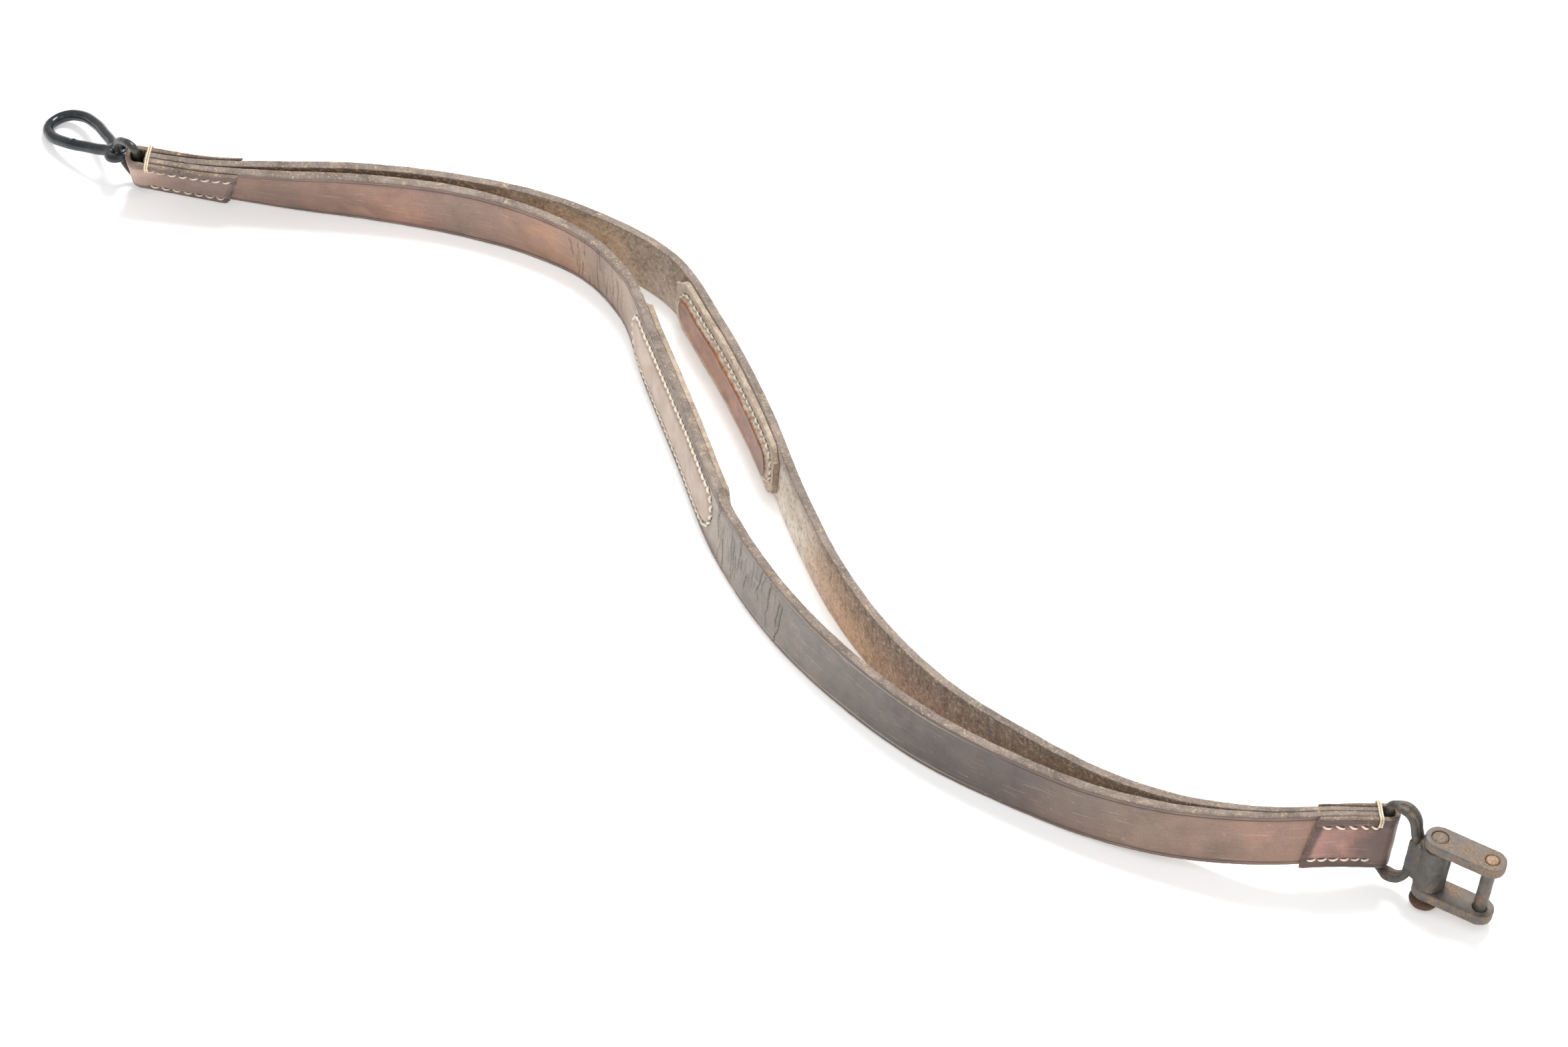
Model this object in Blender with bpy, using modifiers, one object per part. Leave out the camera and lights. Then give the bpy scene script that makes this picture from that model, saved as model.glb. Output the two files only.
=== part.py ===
"""Leather pulling strap with a pear link at its left end and a pinned clevis at its right end.

Two harness-leather straps stand on edge, grain side out. They are sewn together at both ends and part
in the middle, where each one carries a padded grip. Units are metres, +X runs from the pear link to the
clevis, -Y is the front, and Z = 0 is the surface that the strap lies on.
"""

import functools
import math

import bmesh
import bpy
import numpy as np
from mathutils import Matrix, Vector

# Leather
STRAP_WIDTH = 0.032
STRAP_THICKNESS = 0.0048
SKIVED_THICKNESS = 0.0029
SKIVED_LENGTH = 0.110
LOOP_THICKNESS = 0.0025
LEFT_LOOP_LENGTH = 0.0505
RIGHT_LOOP_LENGTH = 0.032
LEFT_LOOP_SLANT = 0.0085
RIGHT_LOOP_SLANT = -0.009
PAD_THICKNESS = 0.0030
PAD_MARGIN = 0.0006
PAD_CORNER = 0.008
PADDING_HEIGHT = 0.0024
GRIP_RISE = 0.0012
OVAL_HALF_WIDTH = 0.0105
OVAL_INSET = 0.0045
THREAD_RADIUS = 0.0004
BINDING_RADIUS = 0.0007
GAP = 0.0003

# Ironwork
RING_ROD = 0.0020
RING_WIDTH = 0.0155
RING_HALF_HEIGHT = 0.0205
RING_SWING = math.radians(30)
RING_TILT = math.radians(3)
RING_RISE = 0.0015
PEAR_ROD = 0.0029
PEAR_LENGTH = 0.0620
PEAR_HALF_WIDTH = 0.0100
PEAR_EYE_ROD = 0.0023
PEAR_EYE_HALF = (0.0059, 0.0056)
PEAR_SEAT = -0.0045
EYE_ROD = 0.0029
EYE_RISE = 0.0015
EYE_FLATNESS = 1.35
EYE_REACH = 0.0275
BARREL_RADIUS = 0.0078
PLATE_THICKNESS = 0.0052
PLATE_HALF_WIDTH = 0.0070
PLATE_SPACING = 0.0256
PIN_SPACING = 0.0262
MAIN_PIN_RADIUS = 0.0040
CROSS_PIN_RADIUS = 0.0033
HEAD_RADIUS = 0.0072
HEAD_HEIGHT = 0.0040
NECK_HEIGHT = 0.0028
SWIVEL_HEADING = math.radians(4.5)
CLEVIS_HEADING = math.radians(12)

FRONT = -1
REAR = 1
UP = Vector((0, 0, 1))
STEP = 0.001

# Middle of the footprint in the course's own coordinates.
FOOTPRINT_MIDDLE = (-0.0077, 0.0182)

# The line between the two straps, one row a station: x, y, height of its foot, how far each strap
# stands off it, and the lean of the front and the rear strap in degrees, tops leaning towards +Y.
COURSE = np.array(
    (
        (-0.3932, 0.0022, 0.0068, 0.0000, -28, -28),
        (-0.3630, 0.0185, 0.0044, 0.0000, -26, -26),
        (-0.3310, 0.0370, 0.0024, 0.0005, -20, -19),
        (-0.2870, 0.0618, 0.0012, 0.0013, -10, -9),
        (-0.2410, 0.0830, 0.0004, 0.0022, -3, -3),
        (-0.2050, 0.0945, 0.0004, 0.0032, -3, -1),
        (-0.1680, 0.0990, 0.0004, 0.0047, -3, 1),
        (-0.1275, 0.0920, 0.0004, 0.0105, 1, 3),
        (-0.0840, 0.0660, 0.0004, 0.0155, 7, 4),
        (-0.0300, 0.0310, 0.0004, 0.0180, 9, 4),
        (0.0290, -0.0100, 0.0004, 0.0178, 10, 4),
        (0.0780, -0.0360, 0.0004, 0.0148, 10, 4),
        (0.1290, -0.0530, 0.0004, 0.0110, 7, 3),
        (0.1780, -0.0610, 0.0004, 0.0082, 4, 2),
        (0.2240, -0.0600, 0.0005, 0.0057, 1, 1),
        (0.2700, -0.0555, 0.0018, 0.0030, 0, 0),
        (0.3140, -0.0455, 0.0065, 0.0006, 0, 0),
        (0.3520, -0.0300, 0.0140, 0.0000, 0, 0),
        (0.3720, -0.0150, 0.0160, 0.0000, 0, 0),
        (0.3880, 0.0005, 0.0132, 0.0000, 0, 0),
    )
)
COURSE[:, :2] -= FOOTPRINT_MIDDLE
CHORDS = np.linalg.norm(np.diff(COURSE[:, :3], axis=0), axis=1)
STATIONS = np.concatenate(([0.0], np.cumsum(CHORDS)))
SLOPES = np.gradient(COURSE, STATIONS, axis=0)
LENGTH = float(STATIONS[-1])

# Each grip pad's two ends, along the course.
GRIP_SPAN = {FRONT: (0.309, 0.465), REAR: (0.300, 0.442)}
SIDE_NAME = {FRONT: "front", REAR: "rear"}


def clear_scene():
    for obj in list(bpy.data.objects):
        bpy.data.objects.remove(obj)


def new_collection(name):
    collection = bpy.data.collections.new(name)
    bpy.context.scene.collection.children.link(collection)
    return collection


def new_material(name, colour, roughness, metallic=0.0):
    material = bpy.data.materials.new(name)
    material.use_nodes = True
    shader = material.node_tree.nodes["Principled BSDF"]
    shader.inputs["Base Color"].default_value = (*colour, 1)
    shader.inputs["Roughness"].default_value = roughness
    shader.inputs["Metallic"].default_value = metallic
    return material


def add_object(name, mesh, material=None, collection=None):
    obj = bpy.data.objects.new(name, mesh)
    if material:
        mesh.materials.append(material)
    (collection or parts).objects.link(obj)
    return obj


def smooth_shading(obj, angle=35):
    obj.data.shade_smooth()
    obj.data.set_sharp_from_angle(angle=math.radians(angle))


# ---------------------------------------------------------------- the straps' course


def smooth_step(value):
    value = min(max(value, 0.0), 1.0)
    return value * value * (3 - 2 * value)


@functools.cache
def course(distance):
    """The six values of the course at a distance along it, by cubic Hermite pieces."""
    i = int(np.clip(np.searchsorted(STATIONS, distance) - 1, 0, len(STATIONS) - 2))
    span = STATIONS[i + 1] - STATIONS[i]
    t = (distance - STATIONS[i]) / span
    start = (1 + 2 * t) * (1 - t) ** 2 * COURSE[i] + t * (1 - t) ** 2 * span * SLOPES[i]
    end = t * t * (3 - 2 * t) * COURSE[i + 1] + t * t * (t - 1) * span * SLOPES[i + 1]
    return start + end


def middle(distance):
    return Vector(course(distance)[:3])


def heading(point_at, distance):
    return (point_at(distance + STEP) - point_at(distance - STEP)).normalized()


def lean(side, distance):
    return math.radians(course(distance)[4 if side == FRONT else 5])


def width_and_rearward(along, angle):
    """The directions up a strap's width and out of its rear face, where it heads along and leans by angle."""
    level = UP.cross(along).normalized()
    across = UP * math.cos(angle) + level * math.sin(angle)
    across = (across - along * across.dot(along)).normalized()
    return across, across.cross(along)


def thickness(distance):
    from_end = min(distance, LENGTH - distance)
    return SKIVED_THICKNESS + (STRAP_THICKNESS - SKIVED_THICKNESS) * smooth_step(from_end / SKIVED_LENGTH)


@functools.cache
def strap_foot(side, distance):
    """The foot of a strap's middle surface."""
    along = heading(middle, distance)
    rearward = width_and_rearward(along, lean(side, distance))[1]
    level = UP.cross(along).normalized()
    offset = rearward * (thickness(distance) + GAP) / 2 + level * course(distance)[3]
    return middle(distance) + offset * side


@functools.cache
def strap_frame(side, distance):
    """The foot of a strap and its directions: up its width, and out of its grain side."""
    along = heading(functools.partial(strap_foot, side), distance)
    across, rearward = width_and_rearward(along, lean(side, distance))
    return strap_foot(side, distance), across, rearward * side


def lay(side, distance, height, out):
    """A point on a strap: height up its width, and out from its middle surface towards the grain side."""
    foot, across, outward = strap_frame(side, distance)
    return foot + across * height + outward * out


@functools.cache
def end_frame(distance):
    """The foot of the line between the straps at an end, with its directions along, across and rearward."""
    along = heading(middle, distance)
    across, rearward = width_and_rearward(along, lean(FRONT, distance))
    return middle(distance), along, across, rearward


def oval_reach(side, distance, height):
    """0 on the middle line of a grip's stitched oval, 1 on its stitching."""
    first, last = GRIP_SPAN[side]
    half = (last - first) / 2 - OVAL_INSET - OVAL_HALF_WIDTH
    beyond = max(abs(distance - (first + last) / 2) - half, 0)
    return math.hypot(beyond, height - STRAP_WIDTH / 2) / OVAL_HALF_WIDTH


# ---------------------------------------------------------------- leather pieces


def slab(name, columns, rows, place, material, collection=None):
    """A grid of cells, drawn out into a slab and bent to shape: place takes its u, v and w, each 0 to 1."""
    mesh = bpy.data.meshes.new(name)
    work = bmesh.new()
    bmesh.ops.create_grid(work, x_segments=columns, y_segments=rows, size=0.5)
    drawn = bmesh.ops.extrude_face_region(work, geom=work.faces[:])["geom"]
    for vertex in (item for item in drawn if isinstance(item, bmesh.types.BMVert)):
        vertex.co.z = 1
    for vertex in work.verts:
        u, v, w = vertex.co
        vertex.co = place(u + 0.5, v + 0.5, w)
    bmesh.ops.recalc_face_normals(work, faces=work.faces)
    if work.calc_volume(signed=True) < 0:
        bmesh.ops.reverse_faces(work, faces=work.faces)
    work.to_mesh(mesh)
    work.free()
    return add_object(name, mesh, material, collection)


def make_strap(side, material):
    first = RING_ROD + 0.0025
    last = LENGTH - EYE_ROD - 0.0020

    def place(u, v, w):
        distance = first + (last - first) * u
        height = STRAP_WIDTH * v
        rise = GRIP_RISE * smooth_step((1 - oval_reach(side, distance, height)) * 3)
        out = thickness(distance) / 2
        return lay(side, distance, height, out + rise if w else -out)

    smooth_shading(slab(f"{SIDE_NAME[side]}_strap", 78, 6, place, material))


def pad_inner_face(side, distance, height, lift):
    """How far a grip's inside surface stands from the strap's middle surface, domed over its padding."""
    dome = smooth_step((1 - oval_reach(side, distance, height)) * 3)
    return -(thickness(distance) / 2 + GAP + lift * dome)


def make_grip_pad(side, material):
    first, last = GRIP_SPAN[side]

    def place(u, v, w):
        distance = first + (last - first) * u
        cut = PAD_CORNER * smooth_step((0.06 - min(u, 1 - u)) / 0.06)
        bottom = PAD_MARGIN + cut * 0.7
        top = STRAP_WIDTH - PAD_MARGIN - cut * 0.7
        height = bottom + (top - bottom) * v
        near = pad_inner_face(side, distance, height, PADDING_HEIGHT)
        return lay(side, distance, height, near if w else near - PAD_THICKNESS)

    smooth_shading(slab(f"{SIDE_NAME[side]}_grip_pad", 26, 8, place, material))


def make_padding(side, material):
    first, last = GRIP_SPAN[side]
    half_length = (last - first) / 2 - OVAL_INSET - 0.006
    half_width = OVAL_HALF_WIDTH * 0.55
    thick = PADDING_HEIGHT * 0.6

    def place(u, v, w):
        along = (2 * u - 1) * half_length
        end = max(abs(along) - (half_length - half_width), 0) / half_width
        reach = half_width * math.sqrt(1 - 0.9 * end * end)
        distance = (first + last) / 2 + along
        height = STRAP_WIDTH / 2 + (2 * v - 1) * reach
        near = -(thickness(distance) / 2 + GAP)
        return lay(side, distance, height, near if w else near - thick)

    smooth_shading(slab(f"{SIDE_NAME[side]}_grip_padding", 18, 2, place, material))


def fold_radius():
    return SKIVED_THICKNESS + 1.5 * GAP


def make_end_loop(name, end, length, slant, material):
    """The leather tab that runs along the front strap, round the ironwork's bar and back along the rear strap.

    Its first and last third of cells are the legs, and its middle third turns round the bar.
    """
    outward = -1 if end == 0 else 1

    def place(u, v, w):
        height = STRAP_WIDTH * v
        out = w * LOOP_THICKNESS
        part = 3 * u - 1
        if 0 < part < 1:
            foot, along, across, rearward = end_frame(end)
            turn = math.pi * part
            spoke = along * (outward * math.sin(turn)) - rearward * math.cos(turn)
            return foot + across * height + spoke * (fold_radius() + out)
        side = FRONT if part <= 0 else REAR
        back = (-part if side == FRONT else part - 1) * (length + slant * (v - 0.5))
        distance = end - outward * back
        return lay(side, distance, height, thickness(distance) / 2 + GAP + out)

    smooth_shading(slab(name, 36, 3, place, material))


# ---------------------------------------------------------------- rods, threads and turned pieces


def rod(name, points, radius, material=None, closed=True, smooth=True, sides=2, steps=5, collection=None):
    """A round rod along points, through them smoothly where smooth is set."""
    curve = bpy.data.curves.new(name, "CURVE")
    curve.dimensions = "3D"
    curve.bevel_depth = radius
    curve.bevel_resolution = sides
    curve.use_fill_caps = True
    curve.resolution_u = steps
    curve.render_resolution_u = 0
    spline = curve.splines.new("BEZIER" if smooth else "POLY")
    own = spline.bezier_points if smooth else spline.points
    own.add(len(points) - 1)
    for knot, point in zip(own, points):
        if smooth:
            knot.co = point
            knot.handle_left_type = knot.handle_right_type = "AUTO"
        else:
            knot.co = (*point, 1)
    spline.use_cyclic_u = closed
    return add_object(name, curve, material, collection)


def as_mesh(obj, material=None, collection=None):
    """The same object with its curve turned into a mesh whose caps are welded."""
    graph = bpy.context.evaluated_depsgraph_get()
    mesh = bpy.data.meshes.new_from_object(obj.evaluated_get(graph))
    work = bmesh.new()
    work.from_mesh(mesh)
    bmesh.ops.remove_doubles(work, verts=work.verts, dist=1e-6)
    bmesh.ops.recalc_face_normals(work, faces=work.faces)
    work.to_mesh(mesh)
    work.free()
    name, place = obj.name, obj.matrix_world.copy()
    bpy.data.objects.remove(obj)
    solid = add_object(name, mesh, None, collection)
    if material:
        mesh.materials.clear()
        mesh.materials.append(material)
    solid.matrix_world = place
    return solid


def cylinder(name, radius, low, high, sides=24, material=None, collection=None):
    """A cylinder about the Z axis."""
    mesh = bpy.data.meshes.new(name)
    work = bmesh.new()
    bmesh.ops.create_cone(
        work,
        cap_ends=True,
        segments=sides,
        radius1=radius,
        radius2=radius,
        depth=high - low,
        matrix=Matrix.Translation((0, 0, (low + high) / 2)),
    )
    work.to_mesh(mesh)
    work.free()
    return add_object(name, mesh, material, collection)


def turned(name, profile, material, sides=24):
    """A solid turned about the Z axis from a profile of (radius, height) points, top to bottom."""
    mesh = bpy.data.meshes.new(name)
    edges = [(i, i + 1) for i in range(len(profile) - 1)]
    mesh.from_pydata([(radius, 0, height) for radius, height in profile], edges, [])
    obj = add_object(name, mesh, material)
    screw = obj.modifiers.new("Screw", "SCREW")
    screw.steps = screw.render_steps = sides
    screw.use_merge_vertices = True
    screw.merge_threshold = 0.0001
    screw.use_smooth_shade = True
    return obj


def combine(obj, other, operation):
    boolean = obj.modifiers.new(operation.title(), "BOOLEAN")
    boolean.operation = operation
    boolean.object = other
    other.hide_render = True
    other.display_type = "WIRE"


def surface_thread(name, side, outline, face_out, material, closed):
    """A sewing thread on a strap. outline lists (distance, height), face_out gives the surface's place there."""
    points = [lay(side, distance, height, face_out(distance)) for distance, height in outline]
    return rod(name, points, THREAD_RADIUS, material, closed=closed, smooth=False, sides=0)


def oval_outline(side):
    """Points round a grip's stitched oval: its two long sides and its two half-round ends."""
    first, last = GRIP_SPAN[side]
    centre = (first + last) / 2
    half = (last - first) / 2 - OVAL_INSET - OVAL_HALF_WIDTH
    points = []
    for direction in (1, -1):
        for step in range(9):
            turn = math.pi * (step / 8 - 0.5)
            distance = centre + direction * (half + OVAL_HALF_WIDTH * math.cos(turn))
            points.append((distance, STRAP_WIDTH / 2 + direction * OVAL_HALF_WIDTH * math.sin(turn)))
        points += [
            (centre + direction * half * (1 - step / 6), STRAP_WIDTH / 2 + direction * OVAL_HALF_WIDTH)
            for step in range(1, 12)
        ]
    return points


def make_grip_threads(side, material):
    """The stitched oval of a grip shows on the strap's grain side and on the pad inside."""
    clear = 3 * GAP + THREAD_RADIUS
    name = SIDE_NAME[side]

    def grain(distance):
        return thickness(distance) / 2 + clear

    def inside(distance):
        return -(thickness(distance) / 2 + GAP + PAD_THICKNESS + clear)

    surface_thread(f"{name}_grip_outer_seam", side, oval_outline(side), grain, material, True)
    surface_thread(f"{name}_grip_inner_seam", side, oval_outline(side), inside, material, True)


def make_end_seams(name, end, length, material):
    """Two rows of stitches along each leg of an end loop."""
    inward = 1 if end == 0 else -1
    rows = {"lower": 0.0055, "upper": 0.0265}

    def on_loop(distance):
        return thickness(distance) / 2 + LOOP_THICKNESS + 2 * GAP + THREAD_RADIUS

    for side in (FRONT, REAR):
        for row, height in rows.items():
            spread = (0.010 + (length - 0.014) * step / 6 for step in range(7))
            outline = [(end + inward * back, height) for back in spread]
            surface_thread(f"{name}_{SIDE_NAME[side]}_{row}_seam", side, outline, on_loop, material, False)


def make_binding(name, distance, material):
    """The thread that is drawn over the top edge next to the fold, from one seam to the other."""
    out = SKIVED_THICKNESS + LOOP_THICKNESS + 3 * GAP + BINDING_RADIUS
    top = STRAP_WIDTH + GAP + BINDING_RADIUS
    foot, _along, across, rearward = end_frame(distance)
    corner = 0.0012
    half = [(out, 0.0285), (out, top - corner), (out - corner * 0.3, top - corner * 0.3), (out - corner, top)]
    arch = half + [(0.0, top)] + [(-x, z) for x, z in reversed(half)]
    points = [foot + across * z - rearward * x for x, z in arch]
    rod(name, points, BINDING_RADIUS, material, closed=False, smooth=False, sides=2)


# ---------------------------------------------------------------- ironwork


def add_pivot(name, origin, x_axis, z_axis):
    """An empty whose Z axis is a joint's axis."""
    pivot = bpy.data.objects.new(name, None)
    parts.objects.link(pivot)
    z_axis = z_axis.normalized()
    y_axis = z_axis.cross(x_axis).normalized()
    axes = Matrix((y_axis.cross(z_axis), y_axis, z_axis)).transposed().to_4x4()
    pivot.matrix_world = Matrix.Translation(origin) @ axes
    return pivot


def fix_to(pivot, *objects):
    """Hangs pieces that were modelled about the world's origin on a pivot."""
    for obj in objects:
        obj.parent = pivot
        obj.matrix_world = pivot.matrix_world.copy()


def make_ring(pivot, material):
    """A D-shaped ring: a straight bar in the fold at x = 0 and a bow towards +X."""
    corner = 0.0035
    half = [
        (0.0, RING_HALF_HEIGHT - corner),
        (0.0008, RING_HALF_HEIGHT - 0.0010),
        (0.0034, RING_HALF_HEIGHT),
        (0.0080, RING_HALF_HEIGHT - 0.0026),
        (0.0130, RING_HALF_HEIGHT - 0.0090),
    ]
    upper = [Vector((x, 0, RING_RISE + z)) for x, z in half]
    lower = [Vector((x, 0, -z)) for x, z in reversed(half)]
    points = upper + [Vector((RING_WIDTH, 0, 0))] + lower + [Vector((0, 0, 0))]
    ring = rod("end_ring", points, RING_ROD, material, steps=4)
    fix_to(pivot, ring)


def make_pear_link(pivot, material):
    """A closed pear-shaped link towards +X with a forged eye round the ring at x = 0."""
    long_half, short_half = PEAR_EYE_HALF
    neck = long_half - 0.0005
    tip = PEAR_LENGTH
    half = [
        (neck + 0.0060, 0.0034),
        (neck + 0.0160, 0.0062),
        (tip * 0.62, PEAR_HALF_WIDTH),
        (tip - 0.0100, PEAR_HALF_WIDTH),
        (tip - 0.0022, PEAR_HALF_WIDTH * 0.60),
    ]
    right = [Vector((x, -y, 0)) for x, y in half]
    left = [Vector((x, y, 0)) for x, y in reversed(half)]
    body = [Vector((neck, 0, 0))] + right + [Vector((tip, 0, 0))] + left
    turns = [2 * math.pi * step / 10 for step in range(10)]
    eye = [Vector((long_half * math.cos(a), short_half * math.sin(a), 0)) for a in turns]
    link = as_mesh(rod("pear_link", body, PEAR_ROD, sides=2, steps=4), material)
    loop = as_mesh(rod("pear_eye", eye, PEAR_EYE_ROD, sides=2, steps=3, collection=cutters), None, cutters)
    combine(link, loop, "UNION")
    smooth_shading(link)
    fix_to(pivot, link, loop)


def make_eye_loop(pivot, material):
    """The forged swivel eye: its barrel is on the main pin at x = 0 and its bar lies in the fold at -EYE_REACH."""
    inner = STRAP_WIDTH / 2 + 0.0024
    crown = inner + EYE_ROD
    web = -BARREL_RADIUS - 0.0020
    half = [
        (web, 0.0070),
        (web - 0.0015, 0.0130),
        (web - 0.0060, crown - 0.0008),
        (-EYE_REACH + 0.0045, crown),
        (-EYE_REACH + 0.0006, crown - 0.0022),
        (-EYE_REACH, crown - 0.0065),
    ]
    rises = (0.0, 0.0) + (EYE_RISE,) * (len(half) - 2)
    upper = [Vector((x, 0, z + rise)) for (x, z), rise in zip(half, rises)]
    lower = [Vector((x, 0, rise - z)) for (x, z), rise in zip(half, rises)]
    lower.reverse()
    loop = as_mesh(rod("eye_loop_bar", upper + lower, EYE_ROD, sides=3, steps=4, collection=cutters), None, cutters)
    for vertex in loop.data.vertices:
        vertex.co.y *= 1 + (EYE_FLATNESS - 1) * smooth_step((vertex.co.x + EYE_REACH) / 0.006)
    half_height = PLATE_SPACING / 2 - GAP
    barrel = cylinder("eye_loop", BARREL_RADIUS, -half_height, half_height, 28, material)
    bore = cylinder("eye_bore", MAIN_PIN_RADIUS + GAP, -PLATE_SPACING, PLATE_SPACING, 24, None, cutters)
    combine(barrel, loop, "UNION")
    combine(barrel, bore, "DIFFERENCE")
    smooth_shading(barrel)
    fix_to(pivot, barrel, loop, bore)


def make_link_plate(name, low, pivot, material):
    """A flat plate with round ends and a hole for each pin."""
    curve = bpy.data.curves.new(name, "CURVE")
    curve.dimensions = "2D"
    curve.fill_mode = "BOTH"
    curve.extrude = PLATE_THICKNESS / 2
    turns = [math.pi * step / 10 for step in range(11)]
    outline = [(-PLATE_HALF_WIDTH * math.sin(a), PLATE_HALF_WIDTH * math.cos(a)) for a in turns]
    outline += [(PIN_SPACING - x, -y) for x, y in outline]
    add_outline(curve, outline)
    for centre, radius in ((0, MAIN_PIN_RADIUS + GAP), (PIN_SPACING, CROSS_PIN_RADIUS + GAP)):
        circle = [2 * math.pi * step / 20 for step in range(20)]
        add_outline(curve, [(centre + radius * math.cos(a), radius * math.sin(a)) for a in circle])
    plate = as_mesh(add_object(name, curve), material)
    plate.data.transform(Matrix.Translation((0, 0, low + PLATE_THICKNESS / 2)))
    smooth_shading(plate)
    fix_to(pivot, plate)


def add_outline(curve, outline):
    spline = curve.splines.new("POLY")
    spline.points.add(len(outline) - 1)
    for knot, (x, y) in zip(spline.points, outline):
        knot.co = (x, y, 0, 1)
    spline.use_cyclic_u = True


def make_pins(pivot, material):
    top = PLATE_SPACING / 2 + PLATE_THICKNESS
    collar = -top - NECK_HEIGHT
    foot = collar - HEAD_HEIGHT
    main_profile = [
        (0.0, top),
        (MAIN_PIN_RADIUS, top),
        (MAIN_PIN_RADIUS, -top - GAP),
        (MAIN_PIN_RADIUS + 0.0010, -top - GAP),
        (MAIN_PIN_RADIUS + 0.0010, collar),
        (HEAD_RADIUS - 0.0012, collar),
        (HEAD_RADIUS, collar - 0.0014),
        (HEAD_RADIUS - 0.0008, foot),
        (0.0, foot),
    ]
    main = turned("main_pin", main_profile, material)
    reach = top + 0.0004
    cross_profile = [
        (0.0, reach),
        (CROSS_PIN_RADIUS - 0.0004, reach),
        (CROSS_PIN_RADIUS, reach - 0.0004),
        (CROSS_PIN_RADIUS, -reach + 0.0004),
        (CROSS_PIN_RADIUS - 0.0004, -reach),
        (0.0, -reach),
    ]
    cross = turned("cross_pin", cross_profile, material)
    fix_to(pivot, main, cross)
    cross.matrix_world = pivot.matrix_world @ Matrix.Translation((PIN_SPACING, 0, 0))


def make_left_ironwork(iron, worn_iron):
    foot, along, across, rearward = end_frame(0)
    bar = foot + across * STRAP_WIDTH / 2
    out = -along * math.cos(RING_SWING) + rearward * math.sin(RING_SWING)
    upright = (across * math.cos(RING_TILT) + rearward * math.sin(RING_TILT)).normalized()
    out = (out - upright * out.dot(upright)).normalized()
    ring_pivot = add_pivot("ring_pivot", bar, out, upright)
    make_ring(ring_pivot, worn_iron)
    seat = bar + out * RING_WIDTH + upright * PEAR_SEAT
    tip = Vector((-0.4655, 0.0100, PEAR_ROD + GAP)) - Vector((*FOOTPRINT_MIDDLE, 0))
    reach = (tip - seat).normalized()
    far_side_up = math.radians(6)
    side = UP.cross(reach).normalized()
    normal = (reach.cross(side) * math.cos(far_side_up) + side * math.sin(far_side_up)).normalized()
    pear_pivot = add_pivot("pear_pivot", seat, reach, normal)
    make_pear_link(pear_pivot, iron)


def make_right_ironwork(iron, rusty_iron):
    foot, _along, across, _rearward = end_frame(LENGTH)
    bar = foot + across * STRAP_WIDTH / 2
    level = Vector((math.cos(SWIVEL_HEADING), math.sin(SWIVEL_HEADING), 0))
    out = (level - across * level.dot(across)).normalized()
    add_pivot("eye_pivot", bar, out, across)
    make_eye_loop(add_pivot("eye_place", bar + out * EYE_REACH, out, across), iron)
    level = Vector((math.cos(CLEVIS_HEADING), math.sin(CLEVIS_HEADING), 0))
    out = bar + out * EYE_REACH
    clevis_pivot = add_pivot("clevis_pivot", out, level, across)
    make_link_plate("upper_link_plate", PLATE_SPACING / 2, clevis_pivot, iron)
    make_link_plate("lower_link_plate", -PLATE_SPACING / 2 - PLATE_THICKNESS, clevis_pivot, iron)
    make_pins(clevis_pivot, rusty_iron)


def make_all():
    leather = new_material("brown_leather", (0.20, 0.14, 0.11), 0.55)
    tab = new_material("red_brown_leather", (0.15, 0.08, 0.06), 0.5)
    pad = new_material("pad_leather", (0.36, 0.24, 0.17), 0.6)
    felt = new_material("padding_felt", (0.30, 0.25, 0.20), 0.95)
    linen = new_material("linen_thread", (0.72, 0.67, 0.55), 0.8)
    iron = new_material("blackened_iron", (0.07, 0.075, 0.08), 0.4, 0.9)
    worn_iron = new_material("worn_iron", (0.12, 0.10, 0.09), 0.45, 0.9)
    rusty_iron = new_material("rusty_iron", (0.16, 0.10, 0.07), 0.6, 0.7)
    for side in (FRONT, REAR):
        make_strap(side, leather)
        make_grip_pad(side, pad)
        make_padding(side, felt)
        make_grip_threads(side, linen)
    ends = (
        ("left_end", 0.0, LEFT_LOOP_LENGTH, LEFT_LOOP_SLANT),
        ("right_end", LENGTH, RIGHT_LOOP_LENGTH, RIGHT_LOOP_SLANT),
    )
    for name, end, length, slant in ends:
        make_end_loop(f"{name}_loop", end, length, slant, tab)
        make_end_seams(name, end, length, linen)
    make_binding("left_end_binding", 0.0095, linen)
    make_binding("right_end_binding", LENGTH - 0.0060, linen)
    make_left_ironwork(iron, worn_iron)
    make_right_ironwork(iron, rusty_iron)


clear_scene()
parts = new_collection("pulling_strap")
cutters = new_collection("cutters")
make_all()
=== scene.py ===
"""Looks for the leather pulling strap: fine leather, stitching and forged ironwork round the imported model."""

import random
from functools import cache, partial
from math import cos, exp, hypot, pi, radians, sin

import bmesh
import bpy
import numpy as np
from mathutils import Matrix, Vector, noise


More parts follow.
